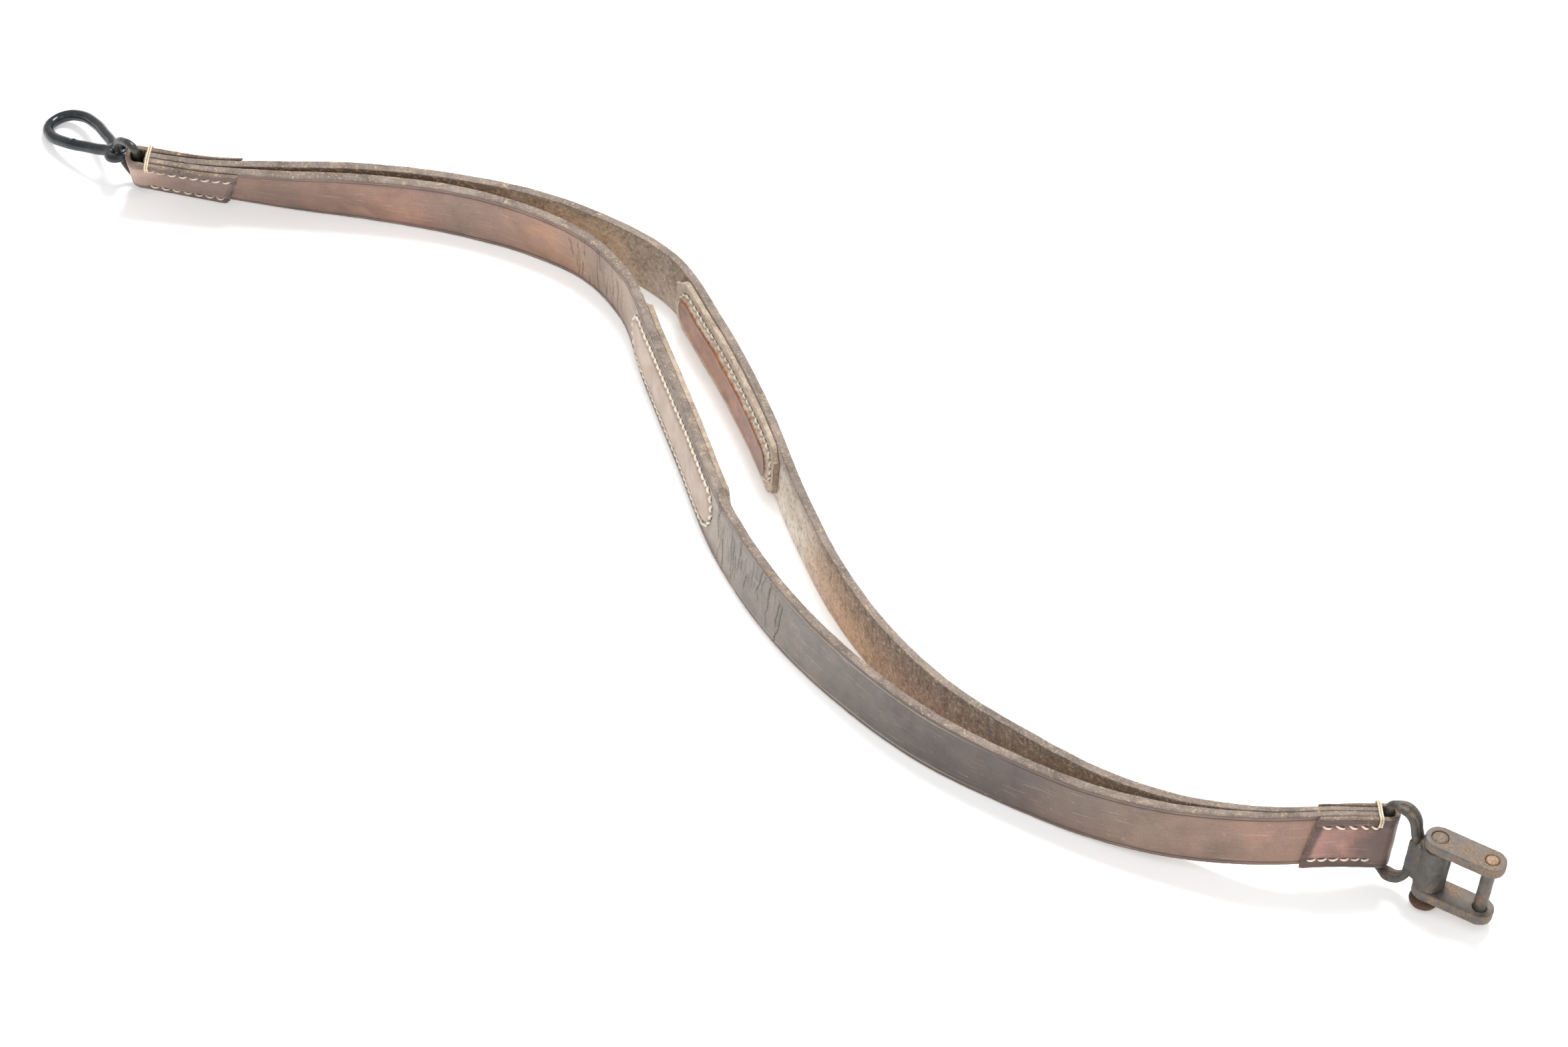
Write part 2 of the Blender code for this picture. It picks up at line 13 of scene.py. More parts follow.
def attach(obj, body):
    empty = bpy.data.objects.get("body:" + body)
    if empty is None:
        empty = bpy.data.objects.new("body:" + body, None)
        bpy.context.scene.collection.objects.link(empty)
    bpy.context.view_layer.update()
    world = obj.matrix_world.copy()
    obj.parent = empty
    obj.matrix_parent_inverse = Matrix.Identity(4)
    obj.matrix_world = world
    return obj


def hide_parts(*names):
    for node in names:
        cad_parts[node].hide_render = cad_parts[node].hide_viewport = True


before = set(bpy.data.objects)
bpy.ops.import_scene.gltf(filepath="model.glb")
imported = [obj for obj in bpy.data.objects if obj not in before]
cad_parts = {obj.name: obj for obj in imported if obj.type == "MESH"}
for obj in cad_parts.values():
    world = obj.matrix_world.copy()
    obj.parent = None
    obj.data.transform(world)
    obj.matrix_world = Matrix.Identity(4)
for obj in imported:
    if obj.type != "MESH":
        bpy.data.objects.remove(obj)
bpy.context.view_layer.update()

# ---- sizes, as in the model, in metres and radians

STRAP_WIDTH = 0.032
MIDDLE = STRAP_WIDTH / 2
STRAP_THICKNESS = 0.0048
SKIVED_THICKNESS = 0.0029
SKIVED_LENGTH = 0.11
LOOP_THICKNESS = 0.0025
# A tab's length, how much longer it is along the top, and how ragged its ends are.
LEFT_LOOP = (0.0505, 0.0085, 0.0015)
RIGHT_LOOP = (0.032, -0.009, 0.0004)
PAD_THICKNESS = 0.003
PAD_MARGIN = 0.0006
PAD_CORNER = 0.008
PADDING_HEIGHT = 0.0024
GRIP_RISE = 0.0012
OVAL_HALF_WIDTH = 0.0105
OVAL_INSET = 0.0045
BINDING_RADIUS = 0.0007
BINDING_APART = 0.00056
TAB_END_BAND = 0.0085
TAB_FOLD_STEPS = 22
GAP = 0.0003
FOLD_RADIUS = SKIVED_THICKNESS + 1.5 * GAP
# How far each edge's crease line is from it, and where a strap's is on the scale of its second UV layer.
STRAP_CREASE = 0.0026
TAB_CREASE = 0.0022
PAD_CREASE = 0.0012
CREASE_PLACE = 0.838
# Height and slant of a tab's rows of stitches.
SEAM_ROWS = {"lower": (0.0055, -0.0008), "upper": (0.0265, 0.0016)}
# How far apart the plies lie along a thread.
PLY_PITCH = 0.0011
RING_ROD = 0.002
RING_WIDTH = 0.0155
RING_HALF_HEIGHT = 0.0205
RING_SWING = radians(30)
RING_TILT = radians(3)
RING_RISE = 0.0015
PEAR_ROD = 0.0029
PEAR_LENGTH = 0.062
PEAR_HALF_WIDTH = 0.01
PEAR_EYE_ROD = 0.0023
PEAR_EYE_HALF = (0.0059, 0.0056)
PEAR_SEAT = -0.0045
EYE_ROD = 0.0029
EYE_RISE = 0.0015
EYE_REACH = 0.0275
BARREL_RADIUS = 0.0078
PLATE_THICKNESS = 0.0052
PLATE_HALF_WIDTH = 0.007
PLATE_SPACING = 0.0256
PIN_SPACING = 0.0262
MAIN_PIN_RADIUS = 0.004
CROSS_PIN_RADIUS = 0.0033
HEAD_RADIUS = 0.0072
HEAD_HEIGHT = 0.004
NECK_HEIGHT = 0.0028
SWIVEL_HEADING = radians(4.5)
CLEVIS_HEADING = radians(12)
# The heights between which a pin takes on its crown's colour, a painted highlight on its top.
PAINTED_HIGHLIGHT_RISE = (0.0365, 0.038)
FLOOR_HALF = 6
FRONT = -1
REAR = 1
# A skin's material slots.
GRAIN, FLESH, EDGE = 0, 1, 2
UP = Vector((0, 0, 1))
STEP = 0.001
FOOTPRINT_MIDDLE = (-0.0077, 0.0182)

# The course's points: place, half the gap between the straps, and the front and rear straps' lean in degrees.
COURSE = np.array([
    (-0.3932, 0.0022, 0.0068, 0.0, -28, -28),
    (-0.363, 0.0185, 0.0044, 0.0, -26, -26),
    (-0.331, 0.037, 0.0024, 0.0005, -20, -19),
    (-0.287, 0.0618, 0.0012, 0.0013, -10, -9),
    (-0.241, 0.083, 0.0004, 0.0022, -3, -3),
    (-0.205, 0.0945, 0.0004, 0.0032, -3, -1),
    (-0.168, 0.099, 0.0004, 0.0047, -3, 1),
    (-0.1275, 0.092, 0.0004, 0.0105, 1, 3),
    (-0.084, 0.066, 0.0004, 0.0155, 7, 4),
    (-0.03, 0.031, 0.0004, 0.018, 9, 4),
    (0.029, -0.01, 0.0004, 0.0178, 10, 4),
    (0.078, -0.036, 0.0004, 0.0148, 10, 4),
    (0.129, -0.053, 0.0004, 0.011, 7, 3),
    (0.178, -0.061, 0.0004, 0.0082, 4, 2),
    (0.224, -0.06, 0.0005, 0.0057, 1, 1),
    (0.27, -0.0555, 0.0018, 0.003, 0, 0),
    (0.314, -0.0455, 0.0065, 0.0006, 0, 0),
    (0.352, -0.03, 0.014, 0.0, 0, 0),
    (0.372, -0.015, 0.016, 0.0, 0, 0),
    (0.388, 0.0005, 0.0132, 0.0, 0, 0),
])
COURSE[:, :2] -= FOOTPRINT_MIDDLE
CHORDS = np.linalg.norm(np.diff(COURSE[:, :3], axis=0), axis=1)
STATIONS = np.concatenate(([0.0], np.cumsum(CHORDS)))
SLOPES = np.gradient(COURSE, STATIONS, axis=0)
LENGTH = float(STATIONS[-1])
GRIP_SPAN = {FRONT: (0.309, 0.465), REAR: (0.3, 0.442)}
SIDE_NAME = {FRONT: "front", REAR: "rear"}

# ---- the straps' course, as in the model


def smooth_step(value):
    value = min(max(value, 0.0), 1.0)
    return value * value * (3 - 2 * value)


def bump_at(value, centre, width):
    """A smooth hill of height 1 at centre."""
    return exp(-(((value - centre) / width) ** 2))


@cache
def course(distance):
    i = int(np.clip(np.searchsorted(STATIONS, distance) - 1, 0, len(STATIONS) - 2))
    span = STATIONS[i + 1] - STATIONS[i]
    t = (distance - STATIONS[i]) / span
    start = (1 + 2 * t) * (1 - t) ** 2 * COURSE[i] + t * (1 - t) ** 2 * span * SLOPES[i]
    end = t * t * (3 - 2 * t) * COURSE[i + 1] + t * t * (t - 1) * span * SLOPES[i + 1]
    return start + end


def middle(distance):
    return Vector(course(distance)[:3])


def heading(point_at, distance):
    return (point_at(distance + STEP) - point_at(distance - STEP)).normalized()


def lean(side, distance):
    return radians(course(distance)[4 if side == FRONT else 5])


def width_and_rearward(along, angle):
    level = UP.cross(along).normalized()
    across = UP * cos(angle) + level * sin(angle)
    across = (across - along * across.dot(along)).normalized()
    return across, across.cross(along)


def thickness(distance):
    from_end = min(distance, LENGTH - distance)
    return SKIVED_THICKNESS + (STRAP_THICKNESS - SKIVED_THICKNESS) * smooth_step(from_end / SKIVED_LENGTH)


@cache
def strap_foot(side, distance):
    along = heading(middle, distance)
    rearward = width_and_rearward(along, lean(side, distance))[1]
    level = UP.cross(along).normalized()
    offset = rearward * (thickness(distance) + GAP) / 2 + level * course(distance)[3]
    return middle(distance) + offset * side


@cache
def strap_frame(side, distance):
    along = heading(partial(strap_foot, side), distance)
    across, rearward = width_and_rearward(along, lean(side, distance))
    return strap_foot(side, distance), across, rearward * side


def lay(side, distance, height, out):
    foot, across, outward = strap_frame(side, distance)
    return foot + across * height + outward * out


@cache
def end_frame(distance):
    along = heading(middle, distance)
    across, rearward = width_and_rearward(along, lean(FRONT, distance))
    return middle(distance), along, across, rearward


def oval_reach(side, distance, height):
    """0 on the middle line of a grip's stitched oval, 1 on its stitching."""
    first, last = GRIP_SPAN[side]
    half = (last - first) / 2 - OVAL_INSET - OVAL_HALF_WIDTH
    beyond = max(abs(distance - (first + last) / 2) - half, 0)
    return hypot(beyond, height - MIDDLE) / OVAL_HALF_WIDTH


# ---- node materials


def rgb(red, green, blue):
    """A colour of 11 to 255 as the shaders take it."""
    return tuple(((c / 255 + 0.055) / 1.055) ** 2.4 for c in (red, green, blue)) + (1,)


def shaded(colour, share):
    return tuple(c * share for c in colour[:3]) + (1,)


class Shader:
    """One Principled material and short calls that add nodes to it."""

    def __init__(self, name, roughness=0.5, metallic=0.0, specular=0.5):
        self.material = bpy.data.materials.new(name)
        self.material.use_nodes = True
        self.tree = self.material.node_tree
        self.surface = self.tree.nodes["Principled BSDF"]
        self.set(Roughness=roughness, Metallic=metallic, **{"Specular IOR Level": specular})
        self.place = self.add("TexCoord", {}, "Object")

    def set(self, **values):
        """The surface's own inputs."""
        for socket, value in values.items():
            self.put(value, self.surface.inputs[socket])

    def put(self, value, socket):
        """Links a socket, or sets its own value."""
        if isinstance(value, bpy.types.NodeSocket):
            self.tree.links.new(value, socket)
        else:
            socket.default_value = value

    def add(self, kind, values, output=0, **settings):
        """One output of a new node with these input values and settings."""
        node = self.tree.nodes.new(f"ShaderNode{kind}")
        for name, setting in settings.items():
            setattr(node, name, setting)
        for socket, value in values.items():
            self.put(value, node.inputs[socket])
        return node.outputs[output]

    def uv(self, layer):
        """A UV layer and its two values."""
        pair = self.add("UVMap", {}, "UV", uv_map=layer)
        return pair, self.add("SeparateXYZ", {0: pair}, "X"), self.add("SeparateXYZ", {0: pair}, "Y")

    def grooves(self):
        """How deep a seam or wrinkle the surface has, 0 to 1; the leathers paint shade into it."""
        return self.add("Attribute", {}, "Fac", attribute_name="Groove")

    def noise(self, scale, detail=3, rough=0.55, distortion=0.0, place=None):
        values = {"Scale": scale, "Detail": detail, "Roughness": rough, "Distortion": distortion}
        return self.add("TexNoise", {"Vector": place or self.place, **values}, "Fac")

    def stretched(self, vector, scale):
        return self.add("Mapping", {"Vector": vector, "Scale": scale}, "Vector")

    def span(self, value, low, high, to_low=0.0, to_high=1.0):
        """value taken from low..high to to_low..to_high, and held there."""
        values = {"Value": value, "From Min": low, "From Max": high, "To Min": to_low, "To Max": to_high}
        return self.add("MapRange", values, "Result")

    def maths(self, operation, first, second=0.0):
        return self.add("Math", {0: first, 1: second}, operation=operation)

    def ragged(self, value, reach, *texture):
        """value, moved by noise of up to reach either way."""
        return self.maths("ADD", value, self.span(self.noise(*texture), 0.3, 0.7, -reach, reach))

    def mix(self, amount, first, second, blend="MIX"):
        values = {"Factor": amount, 6: first, 7: second}
        return self.add("Mix", values, 2, data_type="RGBA", blend_type=blend)

    def layers(self, colour, *layers):
        """Colours laid over colour, each as (value, its low and high, how much shows at each, colour, blend)."""
        for value, low, high, at_low, at_high, tone, *blend in layers:
            colour = self.mix(self.span(value, low, high, at_low, at_high), colour, tone, *blend)
        return colour

    def stops(self, along, stops):
        """Colours along the strap, each as (share of its length, red, green, blue)."""
        node = self.tree.nodes.new("ShaderNodeValToRGB")
        self.put(self.span(along, 0, LENGTH), node.inputs["Fac"])
        own = node.color_ramp.elements
        while len(own) < len(stops):
            own.new(0.5)
        for element, (position, *colour) in zip(own, stops):
            element.position = position
            element.color = rgb(*colour)
        return node.outputs["Color"]

    def finish(self, colour, *bumps):
        """The material, with bumps of (height, depth, strength) laid over each other."""
        normal = {}
        for height, depth, strength in bumps:
            values = {"Height": height, "Distance": depth, "Strength": strength, **normal}
            normal = {"Normal": self.add("Bump", values, "Normal")}
        self.set(**normal, **{"Base Color": colour})
        return self.material


def leather_grain(name, stops, border, mottle=0.5, flecks=0.22, rim=(0.72, 1.0)):
    """The grain side: colours along the strap, darker borders, stains, fine grain and scratches."""
    look = Shader(name, roughness=0.5, specular=0.45)
    uv, along, _ = look.uv("Lay")
    _, edge, reach = look.uv("Shape")
    dark, pale = (84, 70, 66), (206, 198, 188)
    crease = look.stops(along, ((0.0, *dark), (0.52, *dark), (0.57, *pale), (0.74, *pale), (0.8, *dark)))
    off_crease = look.maths("ABSOLUTE", look.maths("SUBTRACT", edge, CREASE_PLACE))
    fine = look.noise(1100, 4, 0.7)
    scratch = look.noise(34, 4, 0.55, 0.5, look.stretched(uv, (1.4, 26, 1)))
    panel = look.layers(rgb(168, 142, 126), (look.noise(55, 4), 0.35, 0.65, 0, 1, rgb(190, 168, 152)))
    colour = look.layers(
        look.stops(look.ragged(along, 0.014, 22, 3, 0.6, 0.5), stops),
        (look.noise(34, 5, 0.62, 0.8), 0.34, 0.5, mottle, 0, (0.55, 0.54, 0.56, 1), "MULTIPLY"),
        (look.noise(48, 4, 0.6, 0.3), 0.48, 0.7, 0, mottle, (1.5, 1.36, 1.25, 1), "MULTIPLY"),
        (look.ragged(edge, 0.1, 60, 3), *rim, 0, 0.85, border),
        (off_crease, 0.01, 0.03, 0.7, 0, crease),
        (fine, 0.32, 0.62, 0.3, 0, rgb(78, 62, 56)),
        (look.noise(520, 2, 0.5), 0.7, 0.76, 0, flecks, rgb(222, 204, 184)),
        (scratch, 0.6, 0.72, 0, 0.3, rgb(216, 192, 172)),
        (scratch, 0.28, 0.4, 0.3, 0, rgb(96, 78, 70)),
        (reach, 0.285, 0.315, 0.75, 0, panel),
        # Painted shade: the grain and the tabs darken in their seam grooves and wrinkles.
        (look.grooves(), 0.15, 0.9, 0, 0.72, rgb(66, 52, 46)),
    )
    look.set(Roughness=look.span(look.noise(150, 4), 0.3, 0.7, 0.3, 0.55))
    pores = look.add("TexVoronoi", {"Vector": look.place, "Scale": 1700}, "Distance", feature="SMOOTH_F1")
    return look.finish(colour, (pores, 0.0001, 0.5), (fine, 0.00016, 0.5), (scratch, 0.0004, 0.35))


def leather_flesh(name):
    """The flesh side: short tan fibres over a brown ground, worn grey along its top in one stretch."""
    look = Shader(name, roughness=0.9, specular=0.15)
    uv, along, height = look.uv("Lay")
    cloud = look.noise(70, 5, 0.65)
    top = look.ragged(height, 0.003, 90, 4)
    colour = look.layers(
        look.stops(look.ragged(along, 0.012, 40, 3, 0.6, 0.5), FLESH_STOPS),
        (cloud, 0.34, 0.56, 0.35, 0, rgb(136, 114, 98)),
        (top, 0.025, 0.031, 0, 0.5, rgb(110, 98, 88)),
    )
    worn = look.maths("MULTIPLY", look.span(along, 0.5, 0.56), look.span(along, 0.66, 0.71, 1, 0))
    worn = look.maths("MULTIPLY", worn, look.span(top, 0.013, 0.021, 0, 0.6))
    streak = look.noise(30, 4, 0.65, 0.4, look.stretched(uv, (9, 1.2, 1)))
    greys = look.layers(rgb(104, 90, 84), (streak, 0.36, 0.62, 0, 1, rgb(176, 164, 156)))
    fibre = look.noise(520, 4, 0.75, 0.5)
    colour = look.layers(
        look.mix(worn, colour, greys),
        (fibre, 0.52, 0.62, 0, 0.55, rgb(238, 212, 180)),
        (look.noise(430, 3, 0.65), 0.38, 0.48, 0.36, 0, rgb(84, 66, 54)),
    )
    return look.finish(colour, (cloud, 0.0008, 0.5), (fibre, 0.0004, 0.6))


def leather_edge(name, pale, dark):
    """A cut edge: packed fibres, mottled grey and tan."""
    look = Shader(name, roughness=0.75, specular=0.3)
    packed = look.noise(30, 5, 0.7, 0.2, look.stretched(look.uv("Lay")[0], (2.5, 50, 1)))
    fleck = look.noise(900, 3, 0.7)
    colour = look.layers(
        dark,
        (look.noise(55, 6, 0.72, 0.6), 0.34, 0.62, 0, 1, pale),
        (packed, 0.34, 0.48, 0.45, 0, rgb(104, 90, 80)),
        (look.noise(230, 5, 0.78, 0.4), 0.57, 0.66, 0, 0.6, rgb(206, 180, 144)),
        (fleck, 0.56, 0.7, 0, 0.45, rgb(226, 202, 168)),
        (fleck, 0.3, 0.43, 0.45, 0, rgb(84, 70, 62)),
    )
    return look.finish(colour, (packed, 0.0006, 0.6), (fleck, 0.0004, 0.6))


def pad_face(name):
    """A grip pad's showing face: a smooth rubbed core inside the stitches and a pale rough border."""
    look = Shader(name, roughness=0.5, specular=0.5)
    uv, along, _ = look.uv("Lay")
    _, _edge, reach = look.uv("Shape")
    ragged = look.ragged(reach, 0.025, 260, 4, 0.7)
    blotch = look.noise(75, 5, 0.65, 0.6)
    fibre = look.noise(750, 4, 0.75)
    streak = look.noise(45, 3, 0.6, 0.3, look.stretched(uv, (1, 16, 1)))
    border = look.layers(
        rgb(190, 176, 162),
        (fibre, 0.36, 0.6, 0, 1, rgb(220, 208, 192)),
        (look.noise(150, 4, 0.7), 0.34, 0.5, 0.5, 0, rgb(150, 130, 110)),
    )
    colour = look.layers(
        rgb(166, 108, 68),
        (blotch, 0.4, 0.56, 0.65, 0, rgb(116, 70, 46)),
        (blotch, 0.56, 0.7, 0, 0.6, rgb(208, 154, 112)),
        (along, 0.395, 0.432, 0, 0.6, rgb(92, 58, 44)),
        (ragged, 0.25, 0.29, 0, 1, border),
        (streak, 0.6, 0.75, 0, 0.2, rgb(228, 208, 188)),
        # Painted shade: the pad darkens in the groove along its stitches.
        (look.grooves(), 0.15, 0.9, 0, 0.88, rgb(64, 48, 40)),
    )
    look.set(Roughness=look.span(ragged, 0.24, 0.29, 0.34, 0.8))
    return look.finish(colour, (blotch, 0.0006, 0.4), (fibre, 0.0003, 0.5))


def linen(name, colour, dirt_and_shade):
    """Waxed linen thread: twisted plies with some dirt and painted shade between the plies."""
    look = Shader(name, roughness=0.7, specular=0.3)
    turns = {"Vector": look.uv("Lay")[0], "Scale": 0.314, "Distortion": 0.3}
    ply = look.add("TexWave", turns, "Fac")
    dirt = (look.noise(240, 4, 0.7), 0.34, 0.5, 0.55, 0, dirt_and_shade)
    # The darker tone serves the dirt and the painted shade in the grooves between the plies.
    colour = look.layers(colour, dirt, (ply, 0.0, 0.4, 0.3, 0, dirt_and_shade))
    return look.finish(colour, (ply, 0.00012, 0.6))


def felt(name):
    """Matted fibres."""
    look = Shader(name, roughness=0.95, specular=0.1)
    fibre = look.noise(800, 5, 0.8, 0.8)
    colour = look.layers(rgb(110, 98, 84), (fibre, 0.35, 0.65, 0, 1, rgb(186, 172, 150)))
    return look.finish(colour, (fibre, 0.0006, 0.8))


def forged_iron(name, base, rust, share, rough, metallic, scale=1.0, relief=1.0, wear=None, crown=None):
    """Forged iron: hammered, blackened, with a share of rust in patches, worn spots and a crown of another colour, a
    painted highlight on a pin's top.
    """
    look = Shader(name, metallic=metallic, specular=0.5)
    patch = look.noise(110 * scale, 6, 0.68, 0.7)
    rusty = look.noise(70 * scale, 8, 0.72, 0.5)
    spots = look.noise(900, 3, 0.7)
    edge = 0.62 - 0.26 * share
    cover = look.span(rusty, edge, edge + 0.12)
    rusts = look.layers(rust, (spots, 0.35, 0.65, 0, 1, shaded(rust, 0.55)))
    colour = look.layers(base, (patch, 0.38, 0.62, 0, 1, shaded(base, 1.8)))
    colour = look.mix(look.maths("MULTIPLY", cover, min(1.0, share + 0.35)), colour, rusts)
    if wear:
        colour = look.layers(colour, (look.noise(75, 4, 0.6, 0.5), 0.58, 0.66, 0, 0.5, wear))
    # Painted highlight: above the crown heights a pin's top takes the crown colour.
    if crown:
        top = look.layers(shaded(crown, 0.5), (spots, 0.3, 0.6, 0, 1, crown))
        height = look.add("SeparateXYZ", {0: look.place}, "Z")
        colour = look.layers(colour, (height, *PAINTED_HIGHLIGHT_RISE, 0, 1, top))
    uneven = look.span(patch, 0.3, 0.7, 0, rough[1] - rough[0])
    roughness = look.maths("ADD", look.span(cover, 0, 1, rough[0], 0.8), uneven)
    look.set(Roughness=roughness, Metallic=look.span(cover, 0, 1, metallic, metallic * 0.25))
    bumps = ((patch, 0.0006, 0.4), (rusty, 0.0005, 0.4), (spots, 0.00012, 0.5))
    return look.finish(colour, *((height, depth, strength * relief) for height, depth, strength in bumps))


# ---- mesh helpers


def new_object(name, data, materials=()):
    obj = bpy.data.objects.new(name, data)
    for material in materials:
        data.materials.append(material)
    bpy.context.scene.collection.objects.link(obj)
    return obj


def new_mesh(name, points, faces):
    mesh = bpy.data.meshes.new(name)
    mesh.from_pydata(points, [], faces)
    return mesh


def stand_for(piece, body, slot, node):
    """Hangs a piece on a body, in place of a CAD node."""
    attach(piece, body)
    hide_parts(node)


def tube_faces(start, length, sides):
    """The faces of a closed tube of so many rings, with its two caps last."""
    last = start + (length - 1) * sides
    faces = []
    for i in range(start, last, sides):
        for j in range(sides):
            k = (j + 1) % sides
            faces.append((i + j, i + k, i + sides + k, i + sides + j))
    return faces + [tuple(reversed(range(start, start + sides))), tuple(range(last, last + sides))]


def set_uv(mesh, name, values):
    """A UV layer, with one pair of values for each point."""
    layer = mesh.uv_layers.new(name=name)
    loops = np.empty(len(mesh.loops), np.int32)
    mesh.loops.foreach_get("vertex_index", loops)
    layer.data.foreach_set("uv", np.array(values, np.float32)[loops].ravel())


def skin(name, columns, section, materials, slot, node):
    """Closed sections joined into one skin. Each point has its place, its two UV pairs and its groove."""
    places, lays, shapes, grooves = zip(*(point for column in columns for point in column))
    kinds = [kind for _height, _out, kind in section]
    mesh = new_mesh(name, places, tube_faces(0, len(columns), len(kinds)))
    mesh.polygons.foreach_set("material_index", kinds * (len(columns) - 1) + [EDGE, EDGE])
    set_uv(mesh, "Lay", lays)
    set_uv(mesh, "Shape", shapes)
    # The groove is the mask for the painted shade in seams and wrinkles.
    mesh.attributes.new("Groove", "FLOAT", "POINT").data.foreach_set("value", grooves)
    work = bmesh.new()
    work.from_mesh(mesh)
    bmesh.ops.triangulate(work, faces=[face for face in work.faces if len(face.verts) > 4])
    if work.calc_volume(signed=True) < 0:
        bmesh.ops.reverse_faces(work, faces=work.faces)
    work.to_mesh(mesh)
    work.free()
    mesh.shade_smooth()
    mesh.set_sharp_from_angle(angle=radians(50))
    piece = new_object(name, mesh, materials)
    stand_for(piece, "strap", slot, node)
    return piece


def section_points(width, thick, grain_round, flesh_round, rows, crease):
    """Round a strap's section from the foot of the grain side, each as (height, out, kind)."""
    face = {GRAIN: (grain_round, thick / 2, -1), FLESH: (flesh_round, -thick / 2, 1)}
    side = thick - grain_round - flesh_round

    def corner(kind, turns, at_top):
        radius, out, inwards = face[kind]
        points = []
        for turn in turns:
            a = radians(turn)
            short = radius * (1 - sin(a))
            height = width - short if at_top else short
            points.append((height, out + inwards * radius * (1 - cos(a)), EDGE if turn else kind))
        return points

    def edge(height, parts):
        return [(height, thick / 2 - grain_round - side * part, EDGE) for part in parts]

    turns = (0, 30, 60, 90)
    near = [crease + step * 0.00022 for step in range(-3, 4)]
    between = np.linspace(crease + 0.0012, width - crease - 0.0012, rows)
    heights = sorted([*near, *(width - h for h in near), *between])
    flesh_heights = np.linspace(width - flesh_round - 0.0012, flesh_round + 0.0012, 14)
    return [
        (grain_round, thick / 2, GRAIN),
        *((h, thick / 2, GRAIN) for h in heights if grain_round < h < width - grain_round),
        *corner(GRAIN, turns, True),
        *edge(width, (0.25, 0.5, 0.75)),
        *corner(FLESH, turns[::-1], True),
        *((h, -thick / 2, FLESH) for h in flesh_heights),
        *corner(FLESH, turns, False),
        *edge(0.0, (0.75, 0.5, 0.25)),
        *corner(GRAIN, turns[:0:-1], False),
    ]


def crease_line(height, crease):
    return sum(bump_at(height, place, 0.00028) for place in (crease, STRAP_WIDTH - crease))


def rough(distance, height, *layers):
    """Unevenness of a surface, from layers of (depth, seed, scale)."""
    return sum(d * noise.noise(Vector((distance * scale, height * scale, seed))) for d, seed, scale in layers)


# ---- straps

# Where the grain side is wrinkled: first and last distance, how many wrinkles, how deep.
WRINKLE_ZONES = {
    FRONT: ((0.238, 0.29, 27, 0.00038), (0.466, 0.536, 30, 0.0004)),
    REAR: ((0.235, 0.275, 9, 0.00022), (0.47, 0.54, 12, 0.00026)),
}


def wrinkles_of(side):
    """Each wrinkle as (distance, slant, depth, lowest, highest, seed)."""
    pick = random.Random(7 + side)
    found = []
    for first, last, count, depth in WRINKLE_ZONES[side]:
        for step in range(count):
            place = first + (last - first) * (step + pick.uniform(0.1, 0.9)) / count
            low = pick.uniform(-0.004, 0.018)
            slant, share = pick.uniform(-0.35, 0.15), pick.uniform(0.35, 1.25)
            high = low + pick.uniform(0.01, 0.03)
            found.append((place, slant, depth * share, low, high, pick.uniform(0, 99)))
    return found


def wrinkle_depth(wrinkles, distance, height):
    total = 0.0
    for place, slant, depth, low, high, seed in wrinkles:
        if abs(distance - place) > 0.012:
            continue
        ends = smooth_step((height - low) / 0.004) * smooth_step((high - height) / 0.004)
        wander = 0.0013 * noise.noise(Vector((height * 160, seed, 0.0)))
        wander += 0.0004 * noise.noise(Vector((height * 900, seed, 3.0)))
        off = distance - place - slant * (height - MIDDLE) - wander
        total += ends * depth * (bump_at(off, 0, 0.00042) - 0.35 * bump_at(abs(off), 0.0012, 0.0007))
    return total


def strap_stations(side):
    """Distances for a strap's sections, closer together where it is wrinkled."""
    last = LENGTH - EYE_ROD - 0.002
    places = list(np.arange(RING_ROD + 0.0025, last, 0.0016))
    for low, high, _count, _depth in WRINKLE_ZONES[side]:
        places = [p for p in places if not low - 0.004 < p < high + 0.004]
        places += list(np.arange(low - 0.004, high + 0.004, 0.00034))
    return sorted(places) + [last]


def make_strap(side, materials):
    wrinkles = wrinkles_of(side)
    columns = []
    for distance in strap_stations(side):
        section = section_points(STRAP_WIDTH, thickness(distance), 0.0011, 0.0005, 26, STRAP_CREASE)
        column = []
        for height, out, kind in section:
            reach = oval_reach(side, distance, height)
            high, far, groove = height, out, 0.0
            if kind == GRAIN:
                wrinkle = wrinkle_depth(wrinkles, distance, height)
                far += GRIP_RISE * smooth_step((0.93 - reach) * 5) - 0.00045 * bump_at(reach, 1.0, 0.07)
                far -= 0.0003 * crease_line(height, STRAP_CREASE) + wrinkle
                far += rough(distance, height, (0.00022, side, 55), (0.00006, 5, 420))
                groove = max(wrinkle / 0.00032, 0.85 * bump_at(reach, 1.0, 0.085))
            elif kind == FLESH:
                far += rough(distance, height, (0.0002, 9, 260), (0.0001, 2, 1100))
            else:
                sway = rough(distance, 0.0, (0.00028, side * 3, 90))
                sway += rough(distance, out, (0.00016, 4, 900))
                high += sway if height > MIDDLE else -min(0.0, sway)
                far += rough(distance, height, (0.00012, 6, 700))
            uv = (distance, height + out if kind == EDGE else height)
            shape = (abs(height / STRAP_WIDTH - 0.5) * 2, min(reach, 3.0) / 3)
            column.append((lay(side, distance, high, far), uv, shape, max(0.0, min(groove, 1.0))))
        columns.append(column)
    name = f"{SIDE_NAME[side]}_strap"
    skin(f"{name}_leather", columns, section, materials, "strap_leather", name)


# ---- grip pads


